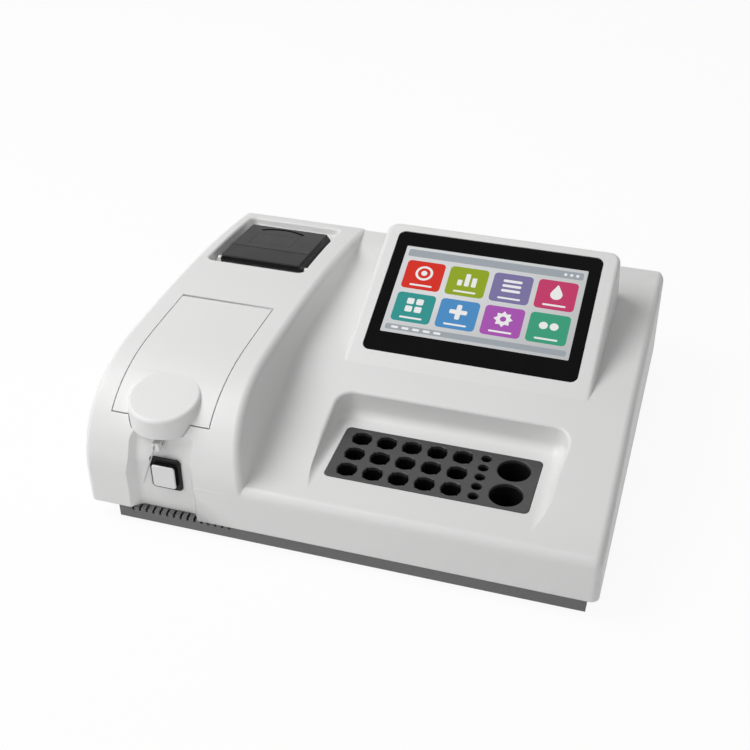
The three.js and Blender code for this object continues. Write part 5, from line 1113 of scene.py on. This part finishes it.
class ANALYZER_OT_screen(bpy.types.Operator):
    """The cover glass and a plain menu of coloured tiles under it"""
    bl_idname = "analyzer.screen"
    bl_label = "Screen"

    TILES = [(0.73, 0.035, 0.021), (0.305, 0.419, 0.022), (0.22, 0.195, 0.397), (0.604, 0.054, 0.162),
             (0.037, 0.323, 0.305), (0.082, 0.292, 0.604), (0.429, 0.103, 0.479), (0.054, 0.376, 0.223)]
    PAPER = (0.72, 0.73, 0.74)
    BAR = (0.38, 0.42, 0.46)
    MARK = (0.93, 0.93, 0.93)
    COLUMNS, ROWS, GAP = 4, 2, 4.5
    MARGIN, BAR_HEIGHTS, BAR_CORNER = 3, (5.5, 7.5), 1.6
    TILE_MARGINS, TILE_CORNER = (5, 12.5, 14.5), 3.5
    DOTS, DASHES = 3, 5
    LIFT = 0.04

    def execute(self, context):
        glass = prism("cover_glass", round_rect(*GLASS, GLASS_CORNER, 12, 2), -GLASS_THICKNESS - SEAT_GAP,
                      -SEAT_GAP, frame_of=on_console, round_edge=0.5)
        dress(glass, finishes()["glass"], "casing", "screen_glass", "display_glass")
        dress(self.menu(), finishes()["screen"], "casing", "screen_glass", weighted=False)
        return {"FINISHED"}

    def layers(self):
        """Outline, colour and level of the panel, its bars and their marks, and each tile with its own."""
        x0, x1, y0, y1 = SCREEN
        in_x0, in_x1, in_y0, in_y1 = grown(SCREEN, -self.MARGIN)
        made = [(round_rect(x0, x1, y0, y1, 1.0, 3), self.PAPER, 0)]
        for low, high in ((in_y1 - self.BAR_HEIGHTS[1], in_y1), (in_y0, in_y0 + self.BAR_HEIGHTS[0])):
            made.append((round_rect(in_x0, in_x1, low, high, self.BAR_CORNER, 4), self.BAR, 1))
        made += [(circle(x1 - 8.0 - 5.0 * i, y1 - 6.75, 1.4, 20), self.MARK, 2) for i in range(self.DOTS)]
        made += [(round_rect(x0 + 8 + 9 * i, x0 + 14 + 9 * i, y0 + 4.6, y0 + 6.9, 0.9, 4), self.MARK, 2)
                 for i in range(self.DASHES)]
        side, under, over = self.TILE_MARGINS
        width = (x1 - x0 - 2 * side - self.GAP * (self.COLUMNS - 1)) / self.COLUMNS
        height = (y1 - y0 - under - over - self.GAP * (self.ROWS - 1)) / self.ROWS
        for k, colour in enumerate(self.TILES):
            row, column = divmod(k, self.COLUMNS)
            left = x0 + side + column * (width + self.GAP)
            low = y0 + under + (self.ROWS - 1 - row) * (height + self.GAP)
            made.append((round_rect(left, left + width, low, low + height, self.TILE_CORNER, 6), colour, 1))
            made += [(shape, tone or colour, level) for shape, tone, level in
                     self.mark(k, left + width / 2, low + height / 2 + 2.5)]
            made.append((round_rect(left + 7, left + width - 7, low + 3.4, low + 5.2, 0.8, 3), self.MARK, 2))
        return made

    def menu(self):
        """Flat tiles in thin layers: each outline is a low prism, a little taller from level to level."""
        points, faces, tints, start = [], [], [], 0
        for outline, colour, level in self.layers():
            n = len(outline)
            for z in (-SEAT_GAP - HAIR, -SEAT_GAP + self.LIFT * (level + 1)):
                points.append(at_height(outline, z))
            ring = np.arange(n)
            after = (ring + 1) % n
            sides = np.stack([ring, after, after + n, ring + n], 1) + start
            faces += sides.tolist() + [(ring[::-1] + start).tolist(), (ring + n + start).tolist()]
            tints += [(*colour, 1.0)] * (2 * n)
            start += 2 * n
        obj = new_object("screen_menu", on_console(np.concatenate(points)), faces)
        layer = obj.data.color_attributes.new("tint", "FLOAT_COLOR", "POINT")
        layer.data.foreach_set("color", np.array(tints).ravel())
        return obj

    def mark(self, kind, x, y):
        """A plain mark for a tile: rings, bars, lines, a drop, squares, a cross, a star or two discs."""
        white, tile = self.MARK, None
        if kind == 0:
            return [(circle(x, y, 7.5, 40), white, 2), (circle(x, y, 5.4, 36), tile, 3),
                    (circle(x, y, 2.6, 28), white, 4)]
        if kind == 1:
            return [(round_rect(x - 8 + 6 * i, x - 4 + 6 * i, y - 7, y - 7 + h, 0.8, 3), white, 2)
                    for i, h in enumerate((6.0, 13.0, 9.5))]
        if kind == 2:
            return [(round_rect(x - 8, x + 8, y - 6.5 + 5 * i, y - 3.9 + 5 * i, 1.2, 4), white, 2)
                    for i in range(3)]
        if kind == 3:
            turn = full_turn(48)
            pull = np.maximum(np.sin(turn), 0.0) ** 3 * 5.0
            drop = [x + 5.0 * np.cos(turn) * (1 - pull / 9), y - 2.0 + 5.0 * np.sin(turn) + pull]
            return [(np.column_stack(drop), white, 2)]
        if kind == 4:
            return [(round_rect(left, left + 6, low, low + 6, 1.2, 4), white, 2)
                    for left in (x - 7, x + 1) for low in (y - 7, y + 1)]
        if kind == 5:
            return [(round_rect(x - w, x + w, y - h, y + h, 1.2, 4), white, level)
                    for w, h, level in ((2.1, 7.5, 2), (7.5, 2.1, 3))]
        if kind == 6:
            reach = np.where(np.arange(16) % 2, 5.6, 8.0)
            return [(arc(x, y, reach, full_turn(16)), white, 2), (circle(x, y, 2.6, 28), tile, 3)]
        return [(circle(x + shift, y, 3.6, 30), white, 2) for shift in (-4.4, 4.4)]


class ANALYZER_OT_incubator(bpy.types.Operator):
    """The incubator's dark plate and its block, with square-and-round wells"""
    bl_idname = "analyzer.incubator"
    bl_label = "Incubator"

    CUVETTES, CUVETTE_START, CUVETTE_PITCH = (5, 3), (15.3, 11.3), (20.3, 19.4)
    TUBES, TUBE_START, TUBE_PITCH, TUBE_RADIUS = 5, (114.3, 8.2), 11.3, 4.1
    BOTTLES, BOTTLE_START, BOTTLE_PITCH, BOTTLE_RADIUS = 2, (137.4, 16.0), 29.2, 12.8

    def execute(self, context):
        outlines = self.wells()
        plate = prism("incubator_top", round_rect(*PLATE, PLATE_CORNER, 10, 6), PLATE_TOP - PLATE_THICKNESS,
                      PLATE_TOP, round_edge=0.6)
        carve(plate, [prism(f"hole_{i}", outline, PLATE_TOP - CUT_OVER, PLATE_TOP + CUT_OVER)
                      for i, outline in enumerate(outlines)])
        carve(plate, [self.lead_in(f"lead_{i}", outline) for i, outline in enumerate(outlines)])
        dress(plate, finishes()["plate"], "casing", "dark_plastic", "incubator_plate")
        block = prism("incubator_heart", round_rect(*grown(PLATE, -2), PLATE_CORNER - 2, 8, 4),
                      BLOCK_TOP - BLOCK_HEIGHT, BLOCK_TOP)
        carve(block, [prism(f"well_{i}", outline, BLOCK_TOP - WELL_DEPTH, BLOCK_TOP + CUT_OVER)
                      for i, outline in enumerate(outlines)])
        # The block takes the black plastic finish instead of its aluminium: painted shade, so that the deep
        # wells read black inside.
        dress(block, finishes()["black"], "casing", "aluminium", "incubator_block")
        return {"FINISHED"}

    def lead_in(self, name, outline):
        """A small chamfer round a hole: its outline grown by the chamfer at the plate's top."""
        out = -inward_of(outline)
        return loft(name, [at_height(outline + out * grow, PLATE_TOP + rise)
                           for grow, rise in ((-0.1, -0.6), (0.5, 0.0), (0.7, 0.2))])

    def wells(self):
        """Outlines: a circle joined with a square gives each cuvette well its four small corners."""
        turn = full_turn(96)
        square = WELL_SQUARE / np.maximum(np.abs(np.cos(turn)), np.abs(np.sin(turn)))
        well = arc(0.0, 0.0, np.maximum(WELL_ROUND, square), turn)
        x, y, across, back = PLATE[0], PLATE[2], *self.CUVETTE_PITCH
        left, low = self.CUVETTE_START
        outlines = [well + (x + left + across * column, y + low + back * row)
                    for column in range(self.CUVETTES[0]) for row in range(self.CUVETTES[1])]
        for count, start, pitch, radius, sides in (
                (self.TUBES, self.TUBE_START, self.TUBE_PITCH, self.TUBE_RADIUS, 48),
                (self.BOTTLES, self.BOTTLE_START, self.BOTTLE_PITCH, self.BOTTLE_RADIUS, 96)):
            outlines += [circle(x + start[0], y + start[1] + pitch * i, radius, sides) for i in range(count)]
        return outlines


class ANALYZER_OT_key(bpy.types.Operator):
    """The suction key: black bezel, black stem and white cap"""
    bl_idname = "analyzer.key"
    bl_label = "Suction key"

    def execute(self, context):
        m = finishes()
        width, height = KEY_SIZE
        bezel = self.slab("key_bezel", BEZEL_SIZE, radius=3.2, back=CHANNEL_DEPTH - SEAT_GAP,
                          face=CHANNEL_DEPTH - 2.0, edge=0.9)
        hole = self.outline(width + 2 * KEY_GAP, height + 2 * KEY_GAP, KEY_CORNER)
        carve(bezel, [prism("key_hole", hole, 0.0, KEY_REACH, axis=1)])
        dress(bezel, m["black"], "casing", "black_plastic", "suction_key_bezel")
        stem = self.slab("key_stem", KEY_SIZE, radius=1.8, back=14.0, face=KEY_FACE + 1.6, edge=0.3)
        dress(stem, m["black"], "key", "black_plastic", "suction_key")
        cap = self.slab("key_cap", KEY_SIZE, radius=KEY_CORNER, back=KEY_FACE + 1.3, face=KEY_FACE, edge=0.9)
        dress(cap, m["cap"], "key", "white_plastic", "suction_key_cap")
        return {"FINISHED"}

    def outline(self, width, height, radius):
        return round_rect(*key_sides(width, height), radius, 10, 4)

    def slab(self, name, size, radius, back, face, edge):
        """A round-cornered slab facing the front, whose front rim is a quarter circle."""
        outline = self.outline(*size, radius)
        inward = inward_of(outline)
        rings = [np.insert(outline, 1, back, axis=1)]
        for along, down in quarter(6):
            rings.append(np.insert(outline + inward * edge * along, 1, face + edge * down, axis=1))
        return loft(name, rings)


class ANALYZER_OT_sipper(bpy.types.Operator):
    """The sipper's thin steel needle"""
    bl_idname = "analyzer.sipper"
    bl_label = "Sipper"

    def execute(self, context):
        share = np.linspace(0.0, 1.0, NEEDLE_POINTS)[:, None]
        path = np.asarray(NEEDLE_TOP) * (1 - share) + np.asarray(NEEDLE_TIP) * share
        radii = np.full(NEEDLE_POINTS, NEEDLE_RADIUS)
        radii[-1] = NEEDLE_RADIUS * 0.55
        dress(tube("needle", path, radii), finishes()["steel"], "casing", "steel", "sipper_needle")
        return {"FINISHED"}


class ANALYZER_OT_printer(bpy.types.Operator):
    """The printer door with its crease, leaning skirt, faint panel line and curved finger slot"""
    bl_idname = "analyzer.printer"
    bl_label = "Printer door"

    def execute(self, context):
        x0, x1, y0, y1 = grown((DOOR[0], DOOR_FOOT, DOOR[2], DOOR[3]), CUT_OVER)
        door = self.hull("printer_cover", 0.0)
        skirt = box("cover_skirt", x0, x1, y0, y1, -CUT_OVER, 0.4, frame_of=on_printer)
        corner = box("hinge_room", x0, x1, y0, DOOR_PIN[0], -CUT_OVER, DOOR_PIN[1], frame_of=on_printer)
        carve(door, [self.hull("cover_room", DOOR_WALL), skirt, corner])
        unite(door, rod("door_barrel", DOOR_PIN, DOOR_BARREL, DOOR[0], DOOR_FOOT, frame_of=on_printer))
        bore = rod("cover_bore", DOOR_PIN, PIN_BORE, x0, x1, PIN_SIDES, on_printer)
        carve(door, [bore, self.slot(), *self.panel_line()])
        dress(door, finishes()["dark"], "printer_cover", "dark_plastic", "printer_door", angle=24.0)
        return {"FINISHED"}

    def hull(self, name, inset):
        """The door's body: what its side profile, its section seen from the front and its plan have in
        common, each a prism whose corners are arcs."""
        x0, x1, y0, y1 = grown(DOOR, -inset)
        front, high, rear = (z - inset for z in (DOOR_FRONT_HEIGHT, DOOR_HEIGHT, DOOR_REAR_HEIGHT))
        foot, top, ridge = -CUT_OVER, DOOR_HEIGHT + CUT_OVER, 0.0 if inset else 0.3
        side = [(y0, foot), *self.corner(y0 + 1.3, front, 1.3, math.pi, math.pi / 2),
                (DOOR_CREASE - 0.6, high), (DOOR_CREASE - 0.25, high + ridge),
                (DOOR_CREASE + 0.25, high + ridge), (DOOR_CREASE + 0.6, high),
                *self.corner(y1 - 1.0, rear, 1.0, math.pi / 2, 0.0), (y1, foot)]
        lean, bow = 0.6 * DOOR_SKIRT, 0.45 * DOOR_REAR_HEIGHT
        section = [(x0, foot), (x0, top), (x1, top), (x1, rear),
                   *bend((x1 + 0.4 * lean, 0.66 * DOOR_REAR_HEIGHT), (x1 + lean, bow),
                         (x1 + 0.8 * DOOR_SKIRT, 0.4 * bow), 6),
                   (x1 + DOOR_SKIRT, 0.0), (x1 + DOOR_SKIRT, foot)]
        hull = prism(name, side, DOOR[0] - 1.0, DOOR_FOOT + 1.0, axis=0, frame_of=on_printer)
        plan = round_rect(x0, DOOR_FOOT - inset, y0, y1, max(3.0 - inset, LEAST_RADIUS))
        return carve(hull, [
            prism("cover_section", section, DOOR[2] - 5.0, DOOR[3] + 5.0, axis=1, frame_of=on_printer),
            prism("cover_plan", plan, foot - 1.0, top, frame_of=on_printer)], "INTERSECT")

    def corner(self, middle, top, radius, start, end):
        """A quarter circle under a top line, about an upright at the middle."""
        return arc(middle, top - radius, radius, np.linspace(start, end, 7))

    def slot(self):
        """The finger slot: a band between two arcs with round ends, cut halfway into the door's skin."""
        x, y, reach, width = FINGER_SLOT
        half = width / 2
        turn = np.linspace(math.pi / 2 - FINGER_SWEEP / 2, math.pi / 2 + FINGER_SWEEP / 2, 48)
        cap = np.linspace(0.0, math.pi, 9)[1:-1]
        ends = [arc(*arc(x, y, reach - half, angle), half, angle + start + cap)
                for angle, start in ((turn[-1], 0.0), (turn[0], math.pi))]
        inner = arc(x, y, reach - width, turn[::-1])
        outline = np.concatenate([arc(x, y, reach, turn), ends[0], inner, ends[1]])
        return prism("finger_slot", outline, DOOR_REAR_HEIGHT - 0.8 * DOOR_WALL, DOOR_HEIGHT + OVERRUN,
                     frame_of=on_printer)

    def panel_line(self):
        """A faint groove round a rectangle between the crease and the slot."""
        x0, x1, y0, y1 = PANEL
        width, depth = 0.35, 0.18
        top = np.interp([y0, y1], [DOOR_CREASE, DOOR[3]], [DOOR_HEIGHT, DOOR_REAR_HEIGHT])
        sides = ((x0, x1, y0, y0 + width), (x0, x1, y1 - width, y1), (x0, x0 + width, y0, y1),
                 (x1 - width, x1, y0, y1))
        lows = [np.interp((front + rear) / 2, [y0, y1], top) - depth for _, _, front, rear in sides]
        return [box(f"panel_line_{i}", *side, low, DOOR_HEIGHT + 3, frame_of=on_printer)
                for i, (side, low) in enumerate(zip(sides, lows))]


class ANALYZER_OT_frame_finishes(bpy.types.Operator):
    """Gives every solid of the frame that stays visible its finish"""
    bl_idname = "analyzer.frame_finishes"
    bl_label = "Frame finishes"

    def execute(self, context):
        m = finishes()
        for part in frame["record"]["subparts"]:
            node = frame["nodes"][part["node"]]
            chosen = m[SLOT_FINISH[part["material_slot"]]]
            if not node.material_slots:
                node.data.materials.append(chosen)
            for slot in node.material_slots:
                slot.material = chosen
        return {"FINISHED"}


class ANALYZER_OT_stage(bpy.types.Operator):
    """The floor, the soft lights, the world and the camera"""
    bl_idname = "analyzer.stage"
    bl_label = "Stage"

    FLOOR_REACH = 6.0
    FLOOR_GLOW = 0.93
    FILL = 0.3
    AIM = (0.0, 0.0, 0.06)
    LAMPS = (("soft_key", (-1.0, -0.3, 1.5), 1.4, 21.5), ("soft_front", (-0.7, -1.8, 0.75), 1.2, 4.5))
    YAW, PITCH, ROLL = 17.277, 35.240, 0.508
    CAMERA_SPOT = (0.2351, -0.8165, 0.6560)
    LENS, SENSOR = 59.388, 36.0

    def execute(self, context):
        scene = context.scene
        scene.view_settings.view_transform = "Standard"
        floor = self.floor(scene)
        self.world(scene)
        for name, spot, size, power in self.LAMPS:
            self.lamp(scene, name, spot, size, power)
        self.camera(scene)
        return {"FINISHED"}

    def floor(self, scene):
        """A pale square that keeps the shadow, and glows to the eye, in reflections and through glass."""
        mesh = bpy.data.meshes.new("floor")
        r = self.FLOOR_REACH
        mesh.from_pydata([(-r, -r, 0), (r, -r, 0), (r, r, 0), (-r, r, 0)], [], [(0, 1, 2, 3)])
        floor = bpy.data.objects.new("floor", mesh)
        scene.collection.objects.link(floor)
        paint = Paint("pale_floor")
        paint.set(Base_Color=(0.92, 0.92, 0.92, 1.0), Roughness=0.9)
        seen = paint.node("ShaderNodeLightPath").outputs
        share = paint.math("MAXIMUM", seen["Is Camera Ray"], seen["Is Glossy Ray"])
        share = paint.math("MAXIMUM", share, seen["Is Transmission Ray"])
        glow = paint.node("ShaderNodeEmission")
        mix = paint.node("ShaderNodeMixShader")
        paint.join(paint.math("MULTIPLY", share, self.FLOOR_GLOW), mix.inputs[0])
        paint.join(paint.shader.outputs[0], mix.inputs[1])
        paint.join(glow.outputs[0], mix.inputs[2])
        paint.join(mix.outputs[0], paint.output.inputs["Surface"])
        mesh.materials.append(paint.material)
        return floor

    def world(self, scene):
        """A studio sky: white to the eye, in reflections and through glass, and a low fill for the rest."""
        world = bpy.data.worlds.new("studio")
        scene.world = world
        world.use_nodes = True
        nodes, links = world.node_tree.nodes, world.node_tree.links
        nodes.clear()
        out = nodes.new("ShaderNodeOutputWorld")
        back = nodes.new("ShaderNodeBackground")
        back.inputs["Color"].default_value = (1.0, 1.0, 1.0, 1.0)
        path = nodes.new("ShaderNodeLightPath")
        level = None
        for ray in ("Is Glossy Ray", "Is Transmission Ray", "Is Camera Ray"):
            mix = nodes.new("ShaderNodeMix")
            links.new(path.outputs[ray], mix.inputs[0])
            if level:
                links.new(level, mix.inputs[2])
            else:
                mix.inputs[2].default_value = self.FILL
            mix.inputs[3].default_value = 1.0
            level = mix.outputs[0]
        links.new(level, back.inputs["Strength"])
        links.new(back.outputs[0], out.inputs[0])

    def lamp(self, scene, name, spot, size, power):
        data = bpy.data.lights.new(name, "AREA")
        data.shape = "DISK"
        data.size = size
        data.energy = power
        lamp = bpy.data.objects.new(name, data)
        lamp.location = spot
        lamp.rotation_mode = "QUATERNION"
        lamp.rotation_quaternion = (Vector(self.AIM) - Vector(spot)).to_track_quat("-Z", "Y")
        scene.collection.objects.link(lamp)

    def camera(self, scene):
        """The camera of the picture, from the object's front right, by its yaw, pitch and roll."""
        yaw, pitch, roll = (math.radians(angle) for angle in (self.YAW, self.PITCH, self.ROLL))
        level = math.cos(pitch)
        ahead = np.array([-math.sin(yaw) * level, math.cos(yaw) * level, -math.sin(pitch)])
        right = np.cross(ahead, (0.0, 0.0, 1.0))
        right /= np.linalg.norm(right)
        down = np.cross(ahead, right)
        x = math.cos(roll) * right + math.sin(roll) * down
        y = math.sin(roll) * right - math.cos(roll) * down
        data = bpy.data.cameras.new("camera")
        data.sensor_width, data.lens = self.SENSOR, self.LENS
        data.clip_start, data.clip_end = 0.02, 60.0
        camera = bpy.data.objects.new("camera", data)
        scene.collection.objects.link(camera)
        rows = [(x[i], y[i], -ahead[i], self.CAMERA_SPOT[i]) for i in range(3)]
        camera.matrix_world = Matrix([*rows, (0, 0, 0, 1)])
        scene.camera = camera


OPERATORS = (
    ANALYZER_OT_stage, ANALYZER_OT_frame_finishes, ANALYZER_OT_casing, ANALYZER_OT_lid, ANALYZER_OT_screen,
    ANALYZER_OT_incubator, ANALYZER_OT_key, ANALYZER_OT_sipper, ANALYZER_OT_printer,
)


class ANALYZER_PT_panel(bpy.types.Panel):
    """Lists the analyzer's pieces in the sidebar"""
    bl_idname = "ANALYZER_PT_panel"
    bl_label = "Chemistry analyzer"
    bl_space_type = "VIEW_3D"
    bl_region_type = "UI"
    bl_category = "Analyzer"

    def draw(self, context):
        for group in (context.scene.analyzer_sizes, context.scene.analyzer_colours):
            for key in group.__annotations__:
                self.layout.prop(group, key)
        for operator in OPERATORS:
            self.layout.operator(operator.bl_idname)


CLASSES = (AnalyzerSizes, AnalyzerColours, *OPERATORS, ANALYZER_PT_panel)


def register():
    for item in CLASSES:
        bpy.utils.register_class(item)
    bpy.types.Scene.analyzer_sizes = bpy.props.PointerProperty(type=AnalyzerSizes)
    bpy.types.Scene.analyzer_colours = bpy.props.PointerProperty(type=AnalyzerColours)


def unregister():
    del bpy.types.Scene.analyzer_sizes
    del bpy.types.Scene.analyzer_colours
    for item in reversed(CLASSES):
        bpy.utils.unregister_class(item)


def main():
    register()
    bpy.ops.analyzer.stage()
    bpy.ops.analyzer.frame_finishes()
    bpy.ops.analyzer.casing()
    bpy.ops.analyzer.lid()
    bpy.ops.analyzer.screen()
    bpy.ops.analyzer.incubator()
    bpy.ops.analyzer.key()
    bpy.ops.analyzer.sipper()
    bpy.ops.analyzer.printer()


if __name__ == "__main__":
    main()
